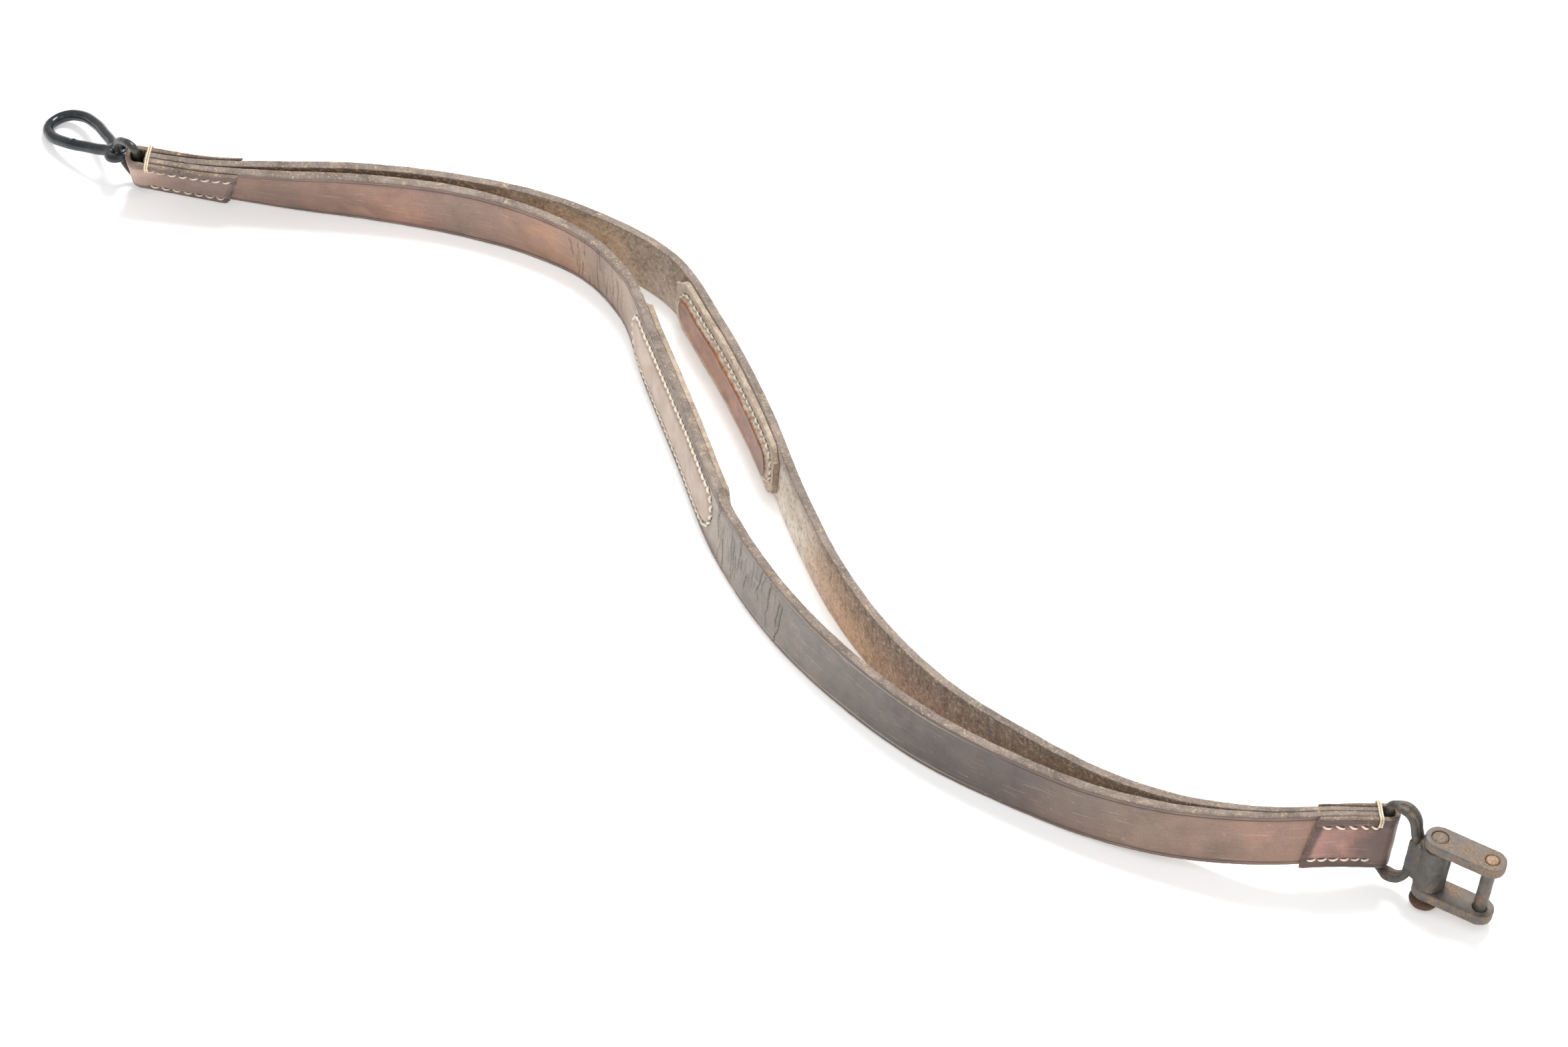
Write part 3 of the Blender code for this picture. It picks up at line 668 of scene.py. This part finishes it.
def make_grip_pad(side, materials):
    """A pad on a strap's inner side, domed over its stuffing and drawn down along its stitches."""
    first, last = GRIP_SPAN[side]
    columns = []
    for u in np.linspace(0, 1, 191).tolist():
        distance = first + (last - first) * u
        foot = PAD_MARGIN + 0.7 * PAD_CORNER * smooth_step((0.06 - min(u, 1 - u)) / 0.06)
        width = STRAP_WIDTH - 2 * foot
        section = section_points(width, PAD_THICKNESS, 0.0007, 0.0004, 30, PAD_CREASE)
        column = []
        for height, out, kind in section:
            real = foot + height
            reach = oval_reach(side, distance, real)
            dome = smooth_step((1 - reach) * 3)
            far = -(thickness(distance) / 2 + GAP + PAD_THICKNESS / 2 + PADDING_HEIGHT * dome) - out
            groove = 0.0
            if kind == GRAIN:
                far += 0.00055 * bump_at(reach, 1.0, 0.09) - 0.0004 * bump_at(reach, 0.72, 0.16)
                far -= rough(distance, real, (0.00022, side, 120), (0.0001, 3, 700))
                far -= smooth_step((reach - 1.15) * 3) * rough(distance, real, (0.0004, 8, 60))
                groove = 0.9 * bump_at(reach, 1.0, 0.085)
            elif kind == EDGE:
                real += rough(distance, out, (0.00025, 5, 300)) * (1 if height > width / 2 else -1)
            shape = (abs(height / width - 0.5) * 2, min(reach, 3.0) / 3)
            column.append((lay(side, distance, real, far), (distance, real), shape, groove))
        columns.append(column)
    name = f"{SIDE_NAME[side]}_grip_pad"
    pad = skin(f"{name}_leather", columns, section, materials, "pad_leather", name)


def make_stuffing(side, material):
    """The wad under a grip pad, from its CAD solid."""
    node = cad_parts[f"{SIDE_NAME[side]}_grip_padding"]
    wad = node.data.copy()
    wad.transform(node.matrix_world)
    name = f"{SIDE_NAME[side]}_grip_stuffing"
    forge(node.name, [wad], Matrix(), material, "strap", "padding_felt", 0.0006, 2, 0.00008, name=name)


# ---- end tabs


def on_tab(end, loop, part, height, out):
    """A point on an end tab: part 0 to 1 front leg, 1 to 2 fold, 2 to 3 rear leg, out from its inner side."""
    length, slant, ragged = loop
    outward = -1 if end == 0 else 1
    if 1 < part < 2:
        foot, along, across, rearward = end_frame(end)
        turn = pi * (part - 1)
        spoke = along * (outward * sin(turn)) - rearward * cos(turn)
        return foot + across * height + spoke * (FOLD_RADIUS + out)
    side = FRONT if part <= 1 else REAR
    share = 1 - part if side == FRONT else part - 2
    torn = ragged * smooth_step((share - 0.8) / 0.2) * (noise.noise(Vector((height * 330, side, 1.5))) - 0.2)
    distance = end - outward * (share * (length + slant * (height / STRAP_WIDTH - 0.5)) + torn)
    return lay(side, distance, height, thickness(distance) / 2 + GAP + out)


def share_of_leg(part):
    """0 at a tab's fold, 1 at the end of either leg."""
    return 1 - part if part <= 1 else max(part - 2, 0)


def tab_thickness(part, length):
    """The front leg's end is cut down a little, and the rear leg is pared down all along."""
    cut = smooth_step(((share_of_leg(part) - 1) * length + 0.0012) / 0.0012)
    pared = 0.62 * smooth_step((part - 2.1) / 0.9)
    return LOOP_THICKNESS * (1 - 0.35 * cut * (part <= 1)) * (1 - pared)


def make_tab(name, end, loop, materials):
    """A tab's two legs and its fold round the iron, drawn in along the seams and full between them."""
    length = loop[0]
    fold = pi * FOLD_RADIUS
    legs = int(length / 0.0008)
    turns = [1 + i / TAB_FOLD_STEPS for i in range(TAB_FOLD_STEPS)]
    parts = [i / legs for i in range(legs)] + turns + [2 + i / legs for i in range(legs + 1)]
    columns = []
    for part in parts:
        leg = share_of_leg(part)
        thick = tab_thickness(part, length)
        share = thick / LOOP_THICKNESS
        rounds = min(0.0011, thick * 0.42), min(0.0004, thick * 0.2)
        section = section_points(STRAP_WIDTH, thick, *rounds, 30, TAB_CREASE)
        travelled = (min(part, 1) + max(part - 2, 0)) * length + min(max(part - 1, 0), 1) * fold
        column = []
        for height, out, kind in section:
            high, far, groove = height, out + thick / 2, 0.0
            if kind == GRAIN:
                sewn = smooth_step((leg * length - 0.003) / 0.003)
                sewn *= sum(bump_at(height, row, 0.001) for row, _slant in SEAM_ROWS.values())
                belly = smooth_step((0.0105 - abs(height - MIDDLE)) / 0.005) * smooth_step(leg * 3)
                far += 0.0003 * belly * share**2 - 0.00075 * sewn * share
                far += rough(travelled, height, (0.0003, end * 9, 95), (0.00008, 4, 600))
                far -= 0.00012 * crease_line(height, TAB_CREASE)
                groove = 0.75 * sewn
            elif kind == EDGE:
                way = 1 if height > MIDDLE else -1
                high += rough(travelled, out, (0.00025, 3, 260)) * way
            near_end = 1 - (1 - leg) * length / TAB_END_BAND
            shape = (max(abs(height / STRAP_WIDTH - 0.5) * 2, near_end), 1.0)
            point = on_tab(end, loop, part, high, far)
            column.append((point, (travelled, height), shape, min(groove, 1.0)))
        columns.append(column)
    skin(f"{name}_tab", columns, section, materials, "tab_leather", f"{name}_loop")


# ---- stitches and threads


def tube(points, normals, radii, sides=8):
    """The rings of corners of a closed tube along points, flatter along its normals."""
    rings = []
    for i, (point, normal, radius) in enumerate(zip(points, normals, radii)):
        ahead = (points[min(i + 1, len(points) - 1)] - points[max(i - 1, 0)]).normalized()
        second = ahead.cross(normal).normalized()
        first = second.cross(ahead).normalized()
        turns = [2 * pi * k / sides for k in range(sides)]
        rings.append([point + first * (cos(a) * radius * 0.85) + second * (sin(a) * radius) for a in turns])
    return rings


def tubes_object(name, tubes, material):
    """Many closed tubes in one mesh, with UVs that run along and round each."""
    points, faces, uvs = [], [], []
    for rings in tubes:
        sides = len(rings[0])
        faces += tube_faces(len(points), len(rings), sides)
        travelled = 0.0
        for before, ring in zip([rings[0], *rings], rings):
            travelled += (ring[0] - before[0]).length
            points += ring
            uvs += [(travelled / PLY_PITCH + k / sides, k / sides) for k in range(sides)]
    mesh = new_mesh(name, points, faces)
    set_uv(mesh, "Lay", uvs)
    mesh.shade_smooth()
    return new_object(name, mesh, [material])


def stitch(at, start, end, slant, radius, lift, pick):
    """One stitch: at(s, sideways, out) gives a point on the leather near the row."""
    points, normals, radii = [], [], []
    slant *= pick.uniform(0.7, 1.3)
    lift *= pick.uniform(0.8, 1.2)
    for step in range(9):
        t = step / 8
        s = start + (end - start) * t
        hill = sin(pi * t)
        rise = lift * hill**0.6 - 0.00045 * (1 - hill)
        points.append(at(s, slant * (t - 0.5), rise))
        normals.append((at(s, slant * (t - 0.5), rise + 0.001) - points[-1]).normalized())
        radii.append(radius * (0.55 + 0.45 * hill**0.5))
    return tube(points, normals, radii)


def stitch_row(stem, at, first, last, pitch, slant, radius, lift, material, fill):
    """A row of stitches in place of a seam. fill is how much of the pitch a stitch takes up."""
    name = f"{stem}_stitches"
    pick = random.Random(name)
    count = max(1, round((last - first) / pitch))
    pitch = (last - first) / count
    row = []
    for i in range(count):
        start, end = (first + pitch * (i + 0.5 + way * fill / 2) for way in (-1, 1))
        row.append(stitch(at, start, end, slant, radius, lift, pick))
    stand_for(tubes_object(name, row, material), "strap", "linen_thread", f"{stem}_seam")


def oval_path(side):
    """The length of a grip's oval, and the way to a place on it as (distance, height)."""
    first, last = GRIP_SPAN[side]
    centre = (first + last) / 2
    half = (last - first) / 2 - OVAL_INSET - OVAL_HALF_WIDTH
    straight = 2 * half
    bend = pi * OVAL_HALF_WIDTH

    def place(s, sideways):
        s %= 2 * (straight + bend)
        reach = OVAL_HALF_WIDTH + sideways
        way = 1
        if s >= straight + bend:
            s -= straight + bend
            way = -1
        if s < straight:
            return centre + way * (half - s), MIDDLE + way * reach
        turn = pi / 2 + (s - straight) / OVAL_HALF_WIDTH
        x, y = -half + reach * cos(turn), reach * sin(turn)
        return centre + way * x, MIDDLE + way * y

    return 2 * (straight + bend), place


def make_grip_stitches(side, grain_thread, inner_thread):
    total, place = oval_path(side)
    faces = (
        ("outer", 1, 0.0001, 0.00055, grain_thread),
        ("inner", -1, GAP + PAD_THICKNESS, 0.00045, inner_thread),
    )
    for kind, way, above, lift, thread in faces:

        def at(s, sideways, out, way=way, above=above):
            distance, height = place(s, sideways)
            return lay(side, distance, height, way * (thickness(distance) / 2 + above + out))

        stem = f"{SIDE_NAME[side]}_grip_{kind}"
        stitch_row(stem, at, 0, total, 0.0047, 0.0011, 0.0008, lift, thread, 0.74)


def make_tab_stitches(name, end, loop, pitch, material):
    length = loop[0]
    for side in SIDE_NAME:
        for row, (height, slant) in SEAM_ROWS.items():
            slanted = length + loop[1] * (height / STRAP_WIDTH - 0.5)

            def at(s, sideways, out, side=side, height=height, slanted=slanted):
                share = s / slanted
                part = 1 - share if side == FRONT else 2 + share
                return on_tab(end, loop, part, height + sideways, tab_thickness(part, length) - 0.0004 + out)

            stem = f"{name}_{SIDE_NAME[side]}_{row}"
            stitch_row(stem, at, 0.005, slanted - 0.0018, pitch, slant, 0.00062, 0.00055, material, 0.8)


def make_binding(name, distance, material):
    """A doubled thread drawn over the top edge next to the fold."""
    out = SKIVED_THICKNESS + LOOP_THICKNESS + 2 * GAP + BINDING_RADIUS * 0.8
    top = STRAP_WIDTH + GAP + BINDING_RADIUS
    foot, along, across, rearward = end_frame(distance)
    corner = 0.0014
    outline = [(out - 0.0014, 0.0272), (out, 0.0282), (out, top - corner), (out - corner * 0.3, top - corner * 0.3)]
    outline += [(out - corner, top), (out * 0.4, top + 0.0001)]
    outline += [(-x, z) for x, z in reversed(outline)]
    fine = []
    for (x0, z0), (x1, z1) in zip(outline, outline[1:]):
        fine += [(x0 + (x1 - x0) * t / 5, z0 + (z1 - z0) * t / 5) for t in range(5)]
    fine.append(outline[-1])
    strands = []
    for offset in (-BINDING_APART, BINDING_APART):
        points = []
        for x, z in fine:
            drift = 0.0005 * noise.noise(Vector((x * 130, z * 130, distance)))
            points.append(foot + across * z - rearward * x + along * (offset + drift))
        strands.append(tube(points, [along] * len(points), [BINDING_RADIUS * 0.82] * len(points), 10))
    stand_for(tubes_object(f"{name}_thread", strands, material), "strap", "linen_thread", name)


# ---- ironwork


def pivot_matrix(origin, x_axis, z_axis):
    z_axis = z_axis.normalized()
    y_axis = z_axis.cross(x_axis).normalized()
    axes = Matrix((y_axis.cross(z_axis), y_axis, z_axis)).transposed().to_4x4()
    return Matrix.Translation(origin) @ axes


def evaluated_mesh(obj):
    graph = bpy.context.evaluated_depsgraph_get()
    return bpy.data.meshes.new_from_object(obj.evaluated_get(graph))


def swept_rod(points, radius):
    """A round rod along a smooth closed curve."""
    curve = bpy.data.curves.new("rod", "CURVE")
    curve.dimensions = "3D"
    curve.bevel_depth = radius
    curve.bevel_resolution = 8
    curve.resolution_u = 10
    spline = curve.splines.new("BEZIER")
    spline.bezier_points.add(len(points) - 1)
    for knot, point in zip(spline.bezier_points, points):
        knot.co = point
        knot.handle_left_type = knot.handle_right_type = "AUTO"
    spline.use_cyclic_u = True
    obj = new_object("rod", curve)
    mesh = evaluated_mesh(obj)
    bpy.data.objects.remove(obj)
    return mesh


def turned_mesh(profile, sides=48):
    """A solid turned about Z from (radius, height) points, top to bottom, both ends on the axis."""
    turns = [2 * pi * k / sides for k in range(sides)]
    points = [(0, 0, profile[0][1])]
    for radius, height in profile[1:-1]:
        points += [(radius * cos(a), radius * sin(a), height) for a in turns]
    points.append((0, 0, profile[-1][1]))
    last = len(points) - 1
    base = last - sides
    faces = []
    for k in range(sides):
        n = (k + 1) % sides
        faces.append((0, 1 + k, 1 + n))
        faces += [(i + k, i + sides + k, i + sides + n, i + n) for i in range(1, base, sides)]
        faces.append((last, base + n, base + k))
    return new_mesh("turned", points, faces)


def prism_mesh(outline, low, high):
    """A flat outline drawn up into a plate."""
    count = len(outline)
    points = [(x, y, z) for z in (low, high) for x, y in outline]
    faces = [tuple(reversed(range(count))), tuple(range(count, 2 * count))]
    faces += [(k, (k + 1) % count, count + (k + 1) % count, count + k) for k in range(count)]
    return new_mesh("prism", points, faces)


def forge(node, meshes, place, material, body, slot, voxel, smooth, dents, cut=None, name=None):
    """Welds meshes into one skin in place of a node: voxel remesh, smoothing and shallow hammer marks."""
    name = name or f"{node}_iron"
    work = bmesh.new()
    for mesh in meshes:
        work.from_mesh(mesh)
    bmesh.ops.recalc_face_normals(work, faces=work.faces)
    joined = bpy.data.meshes.new(name)
    work.to_mesh(joined)
    work.free()
    obj = new_object(name, joined)
    remesh = obj.modifiers.new("Remesh", "REMESH")
    remesh.mode = "VOXEL"
    remesh.voxel_size = voxel
    if cut:
        cutter = new_object(f"{name}_cut", cut)
        boolean = obj.modifiers.new("Cut", "BOOLEAN")
        boolean.operation = "DIFFERENCE"
        boolean.object = cutter
    soften = obj.modifiers.new("Smooth", "SMOOTH")
    soften.factor = 0.5
    soften.iterations = smooth
    mesh = evaluated_mesh(obj)
    obj.modifiers.clear()
    obj.data = mesh
    if cut:
        bpy.data.objects.remove(cutter)
    points = np.empty(len(mesh.vertices) * 3, np.float32)
    normals = np.empty(len(mesh.vertices) * 3, np.float32)
    mesh.vertices.foreach_get("co", points)
    mesh.vertex_normals.foreach_get("vector", normals)
    points = points.reshape(-1, 3)
    dent = [noise.noise(Vector(p) * 220) + 0.5 * noise.noise(Vector(p) * 600) for p in points]
    points += normals.reshape(-1, 3) * dents * np.array(dent, np.float32)[:, None]
    mesh.vertices.foreach_set("co", points.ravel())
    mesh.transform(place)
    mesh.shade_smooth()
    mesh.materials.clear()
    mesh.materials.append(material)
    stand_for(obj, body, slot, node)


def ring_and_pear_places():
    foot, along, across, rearward = end_frame(0)
    bar = foot + across * MIDDLE
    out = -along * cos(RING_SWING) + rearward * sin(RING_SWING)
    upright = (across * cos(RING_TILT) + rearward * sin(RING_TILT)).normalized()
    out = (out - upright * out.dot(upright)).normalized()
    seat = bar + out * RING_WIDTH + upright * PEAR_SEAT
    tip = Vector((-0.4655, 0.01, PEAR_ROD + GAP)) - Vector((*FOOTPRINT_MIDDLE, 0))
    reach = (tip - seat).normalized()
    far_side_up = radians(6)
    side = UP.cross(reach).normalized()
    normal = (reach.cross(side) * cos(far_side_up) + side * sin(far_side_up)).normalized()
    return pivot_matrix(bar, out, upright), pivot_matrix(seat, reach, normal)


def make_ring(place, material):
    top = RING_HALF_HEIGHT
    half = [(0.0, top - 0.0035), (0.0008, top - 0.001), (0.0034, top), (0.008, top - 0.0026), (0.013, top - 0.009)]
    upper = [(x, 0, RING_RISE + z) for x, z in half]
    lower = [(x, 0, -z) for x, z in reversed(half)]
    mesh = swept_rod([*upper, (RING_WIDTH, 0, 0), *lower, (0, 0, 0)], RING_ROD + 0.00008)
    forge("end_ring", [mesh], place, material, "ring", "worn_iron", 0.0003, 3, 0.00008)


def make_pear(place, material):
    """The pear's closed rod, its small eye and the weld where the rod's ends meet."""
    long_half, short_half = PEAR_EYE_HALF
    neck = long_half - 0.0005
    tip, wide = PEAR_LENGTH, PEAR_HALF_WIDTH
    half = [(neck + 0.006, 0.0034), (neck + 0.016, 0.0062), (tip * 0.62, wide), (tip - 0.01, wide)]
    half.append((tip - 0.0022, wide * 0.6))
    right = [(x, -y, 0) for x, y in half]
    left = [(x, y, 0) for x, y in reversed(half)]
    body = swept_rod([(neck, 0, 0), *right, (tip, 0, 0), *left], PEAR_ROD + 0.0001)
    turns = [2 * pi * step / 10 for step in range(10)]
    eye = swept_rod([(long_half * cos(a), short_half * sin(a), 0) for a in turns], PEAR_EYE_ROD + 0.0001)
    weld = turned_mesh([(0, 0.0012), (0.0016, 0.0008), (0.0022, 0), (0.0016, -0.0008), (0, -0.0012)], 20)
    weld.transform(Matrix.Translation((tip * 0.5, wide * 0.86, 0.0022)))
    forge("pear_link", [body, eye, weld], place, material, "pear", "blackened_iron", 0.00042, 8, 0.00004)


def clevis_places():
    foot, _along, across, _rearward = end_frame(LENGTH)
    bar = foot + across * MIDDLE
    level = Vector((cos(SWIVEL_HEADING), sin(SWIVEL_HEADING), 0))
    out = (level - across * level.dot(across)).normalized()
    level = Vector((cos(CLEVIS_HEADING), sin(CLEVIS_HEADING), 0))
    centre = bar + out * EYE_REACH
    return pivot_matrix(centre, out, across), pivot_matrix(centre, level, across)


def make_eye(place, material):
    """Two drawn ridges of iron side by side round the fold, webbed to a rolled barrel."""
    crown = MIDDLE + 0.0024 + EYE_ROD
    web = -BARREL_RADIUS - 0.002
    half = [
        (web, 0.007, 0.0),
        (web - 0.0015, 0.013, 0.0),
        (web - 0.006, crown - 0.0008, EYE_RISE),
        (-EYE_REACH + 0.0045, crown, EYE_RISE),
        (-EYE_REACH + 0.0006, crown - 0.0022, EYE_RISE),
        (-EYE_REACH, crown - 0.0065, EYE_RISE),
    ]
    knots = [(x, 0, z + rise) for x, z, rise in half] + [(x, 0, rise - z) for x, z, rise in reversed(half)]
    meshes = []
    for side in (-1, 1):
        mesh = swept_rod(knots, 0.002)
        for vertex in mesh.vertices:
            apart = smooth_step((vertex.co.x + EYE_REACH - 0.001) / 0.006)
            vertex.co.y += side * 0.00185 * apart
        meshes.append(mesh)
    high = PLATE_SPACING / 2 - GAP
    outline = []
    for step in range(96):
        a = 2 * pi * step / 96
        radius = BARREL_RADIUS - 0.0011 * bump_at(a, radians(8), 0.075) - 0.0006 * (a / (2 * pi))
        outline.append((radius * cos(a), radius * sin(a)))
    meshes.append(prism_mesh(outline, -high, high))
    gusset = [(web - 0.003, -0.0036), (-0.004, -0.0058), (-0.004, 0.0058), (web - 0.003, 0.0036)]
    meshes.append(prism_mesh(gusset, -0.01, 0.01))
    forge("eye_loop", meshes, place, material, "eye", "blackened_iron", 0.0003, 2, 0.00014)


def make_plate(name, low, place, material):
    """A link plate with rounded ends and a hole for each pin."""
    turns = [pi * step / 20 for step in range(21)]
    outline = [(-PLATE_HALF_WIDTH * sin(a), PLATE_HALF_WIDTH * cos(a)) for a in turns]
    outline += [(PIN_SPACING - x, -y) for x, y in outline]
    holes = bpy.data.meshes.new("holes")
    work = bmesh.new()
    for centre, pin_radius in ((0, MAIN_PIN_RADIUS), (PIN_SPACING, CROSS_PIN_RADIUS)):
        radius = pin_radius + GAP * 0.6
        cone = {"cap_ends": True, "segments": 40, "radius1": radius, "radius2": radius, "depth": 0.02}
        bmesh.ops.create_cone(work, matrix=Matrix.Translation((centre, 0, low)), **cone)
    work.to_mesh(holes)
    work.free()
    mesh = prism_mesh(outline, low, low + PLATE_THICKNESS)
    forge(name, [mesh], place, material, "clevis", "blackened_iron", 0.0004, 5, 0.0001, holes)


def make_pins(place, main_material, cross_material):
    """The main pin with its mushroom head below, and the cross pin."""
    top = PLATE_SPACING / 2 + PLATE_THICKNESS
    collar = -top - NECK_HEIGHT
    foot = collar - HEAD_HEIGHT
    main, head, cross = MAIN_PIN_RADIUS, HEAD_RADIUS, CROSS_PIN_RADIUS
    main_profile = [
        (0, top + 0.0001), (main - 0.0012, top + 0.0001), (main, top - 0.0005),
        (main, -top - GAP), (main + 0.0012, -top - GAP), (main + 0.0006, collar + 0.001),
        (main + 0.001, collar + 0.0003), (head - 0.0012, collar), (head - 0.0001, collar - 0.0009),
        (head, collar - 0.0018), (head - 0.0006, collar - 0.0021), (head - 0.0002, collar - 0.0026),
        (head - 0.0008, foot + 0.0003), (head - 0.0016, foot), (0, foot),
    ]
    rest = ("clevis", "rusty_iron", 0.00034, 2)
    forge("main_pin", [turned_mesh(main_profile)], place, main_material, *rest, 0.00012)
    reach = top + 0.0004
    cross_profile = [
        (0, reach), (cross - 0.0008, reach), (cross - 0.0001, reach - 0.0004),
        (cross, reach - 0.001), (cross, -reach + 0.0008), (cross - 0.0006, -reach),
        (0, -reach),
    ]
    place = place @ Matrix.Translation((PIN_SPACING, 0, 0))
    forge("cross_pin", [turned_mesh(cross_profile)], place, cross_material, *rest, 0.00008)


# ---- everything

# Colours along the strap, as Shader.stops takes them.
GRAIN_STOPS = (
    (0.00, 146, 117, 103), (0.06, 142, 112, 98), (0.085, 120, 94, 82),
    (0.15, 156, 120, 102), (0.2, 136, 111, 99), (0.27, 164, 126, 102),
    (0.31, 150, 128, 112), (0.36, 170, 150, 134), (0.53, 160, 146, 134),
    (0.58, 140, 132, 122), (0.66, 116, 108, 100), (0.74, 84, 76, 70),
    (0.8, 94, 82, 76), (0.87, 132, 112, 98), (0.94, 152, 120, 103),
)
FLESH_STOPS = (
    (0.00, 130, 108, 94), (0.18, 140, 116, 98), (0.26, 204, 182, 160),
    (0.29, 206, 186, 166), (0.33, 180, 168, 156), (0.5, 248, 242, 234),
    (0.56, 228, 222, 212), (0.6, 206, 184, 166), (0.64, 198, 170, 146),
    (0.7, 174, 152, 136), (0.78, 170, 150, 136), (0.88, 146, 126, 112),
)
# The pale stops round 0.052 are a painted highlight on the left tab's fold.
LEFT_TAB_STOPS = (
    (0.0, 120, 96, 86), (0.025, 120, 96, 86), (0.042, 148, 118, 104),
    (0.052, 186, 156, 140), (0.08, 160, 136, 122), (0.12, 136, 112, 102),
)
RIGHT_TAB_STOPS = (
    (0.0, 172, 130, 118), (0.012, 164, 122, 110), (0.024, 132, 98, 88),
    (0.034, 104, 82, 75), (0.06, 112, 90, 82), (0.08, 150, 114, 102),
)


def make_leather():
    edge = leather_edge("edge_leather", rgb(148, 134, 124), rgb(104, 94, 87))
    tab_edge = leather_edge("tab_edge_leather", rgb(136, 119, 108), rgb(88, 74, 66))
    pad_edge = leather_edge("pad_edge_leather", rgb(184, 168, 150), rgb(124, 106, 92))
    flesh = leather_flesh("flesh_leather")
    grain = leather_grain("grain_leather", GRAIN_STOPS, rgb(104, 86, 78))
    left_tab = leather_grain("left_tab_leather", LEFT_TAB_STOPS, rgb(88, 72, 64), 0.5, 0.2, (0.6, 0.8))
    right_tab = leather_grain("right_tab_leather", RIGHT_TAB_STOPS, rgb(74, 55, 49), 0.6, 0.2, (0.6, 0.78))
    pad = pad_face("pad_face_leather")
    for side in SIDE_NAME:
        make_strap(side, [grain, flesh, edge])
        make_grip_pad(side, [pad, flesh, pad_edge])
    make_tab("left_end", 0.0, LEFT_LOOP, [left_tab, flesh, tab_edge])
    make_tab("right_end", LENGTH, RIGHT_LOOP, [right_tab, flesh, tab_edge])
    stuffing = felt("padding_felt_fibres")
    for side in SIDE_NAME:
        make_stuffing(side, stuffing)


def make_threads():
    cream = linen("cream_linen", rgb(238, 230, 214), rgb(176, 156, 134))
    worn = linen("worn_linen", rgb(244, 234, 216), rgb(170, 150, 128))
    grey = linen("grey_linen", rgb(226, 212, 192), rgb(140, 120, 104))
    waxed = linen("waxed_linen", rgb(228, 212, 186), rgb(176, 154, 128))
    for side in SIDE_NAME:
        make_grip_stitches(side, cream, worn)
    make_tab_stitches("left_end", 0.0, LEFT_LOOP, 0.0056, grey)
    make_tab_stitches("right_end", LENGTH, RIGHT_LOOP, 0.0045, worn)
    make_binding("left_end_binding", 0.0064, waxed)
    make_binding("right_end_binding", LENGTH - 0.005, waxed)


def make_ironwork():
    def iron(name, base, rust, *rest, **more):
        return forged_iron(name, rgb(*base), rgb(*rust), *rest, **more)

    # lit_head and lit_cross are painted highlights for the tops of the main pin and the cross pin.
    rubbed, lit_head, lit_cross = rgb(74, 75, 75), rgb(132, 114, 98), rgb(158, 128, 102)
    blue = iron("blued_iron", (40, 43, 45), (84, 74, 64), 0.05, (0.13, 0.24), 0.5, 1.0, 0.08, rubbed)
    worn = iron("worn_ring_iron", (58, 56, 53), (130, 104, 82), 0.3, (0.24, 0.42), 0.55, 1.0, 0.5)
    grey = iron("grey_forged_iron", (70, 68, 64), (150, 122, 96), 0.34, (0.38, 0.6), 0.45, 1.6)
    plate = iron("plate_iron", (88, 84, 80), (146, 126, 108), 0.72, (0.45, 0.65), 0.3, 1.2)
    head = iron("pin_head_iron", (72, 58, 50), (108, 80, 60), 0.55, (0.45, 0.7), 0.3, crown=lit_head)
    cross = iron("cross_pin_patina", (80, 76, 70), (150, 122, 98), 0.5, (0.4, 0.6), 0.3, crown=lit_cross)
    ring_place, pear_place = ring_and_pear_places()
    make_ring(ring_place, worn)
    make_pear(pear_place, blue)
    eye_place, clevis_place = clevis_places()
    make_eye(eye_place, grey)
    make_plate("upper_link_plate", PLATE_SPACING / 2, clevis_place, plate)
    make_plate("lower_link_plate", -PLATE_SPACING / 2 - PLATE_THICKNESS, clevis_place, plate)
    make_pins(clevis_place, head, cross)


def make_floor():
    look = Shader("pale_floor", roughness=0.7, specular=0.2)
    look.set(**{"Emission Color": (1, 1, 1, 1), "Emission Strength": 0.3})
    material = look.finish(look.mix(look.noise(6, 3), (0.9, 0.9, 0.9, 1), (0.93, 0.93, 0.93, 1)))
    far = FLOOR_HALF
    corners = [(-far, -far, 0), (far, -far, 0), (far, far, 0), (-far, far, 0)]
    floor = new_object("floor", new_mesh("floor", corners, [(0, 1, 2, 3)]), [material])


def make_lights():
    scene = bpy.context.scene
    scene.world = scene.world or bpy.data.worlds.new("studio")
    scene.world.use_nodes = True
    background = scene.world.node_tree.nodes["Background"]
    background.inputs["Color"].default_value = (1, 1, 1, 1)
    background.inputs["Strength"].default_value = 0.66
    for name, place, size, power in (("key", (-0.25, 1.0, 2.5), 1.0, 78), ("fill", (1.2, -1.4, 2.2), 2.0, 16)):
        light = bpy.data.lights.new(name, "AREA")
        light.size = size
        light.energy = power
        obj = new_object(name, light)
        obj.location = place
        obj.rotation_euler = (-obj.location).to_track_quat("-Z", "Y").to_euler()
    scene.view_settings.view_transform = "Standard"
    scene.view_settings.look = "None"


def make_camera():
    camera = bpy.data.cameras.new("camera")
    camera.lens = 150
    camera.sensor_width = 36
    camera.sensor_fit = "HORIZONTAL"
    obj = new_object("camera", camera)
    obj.location = (1.4883 - FOOTPRINT_MIDDLE[0], -1.79374 - FOOTPRINT_MIDDLE[1], 2.208)
    obj.rotation_euler = (radians(46.5), 0, radians(39))
    bpy.context.scene.camera = obj


make_camera()
make_floor()
make_lights()
make_leather()
make_threads()
make_ironwork()
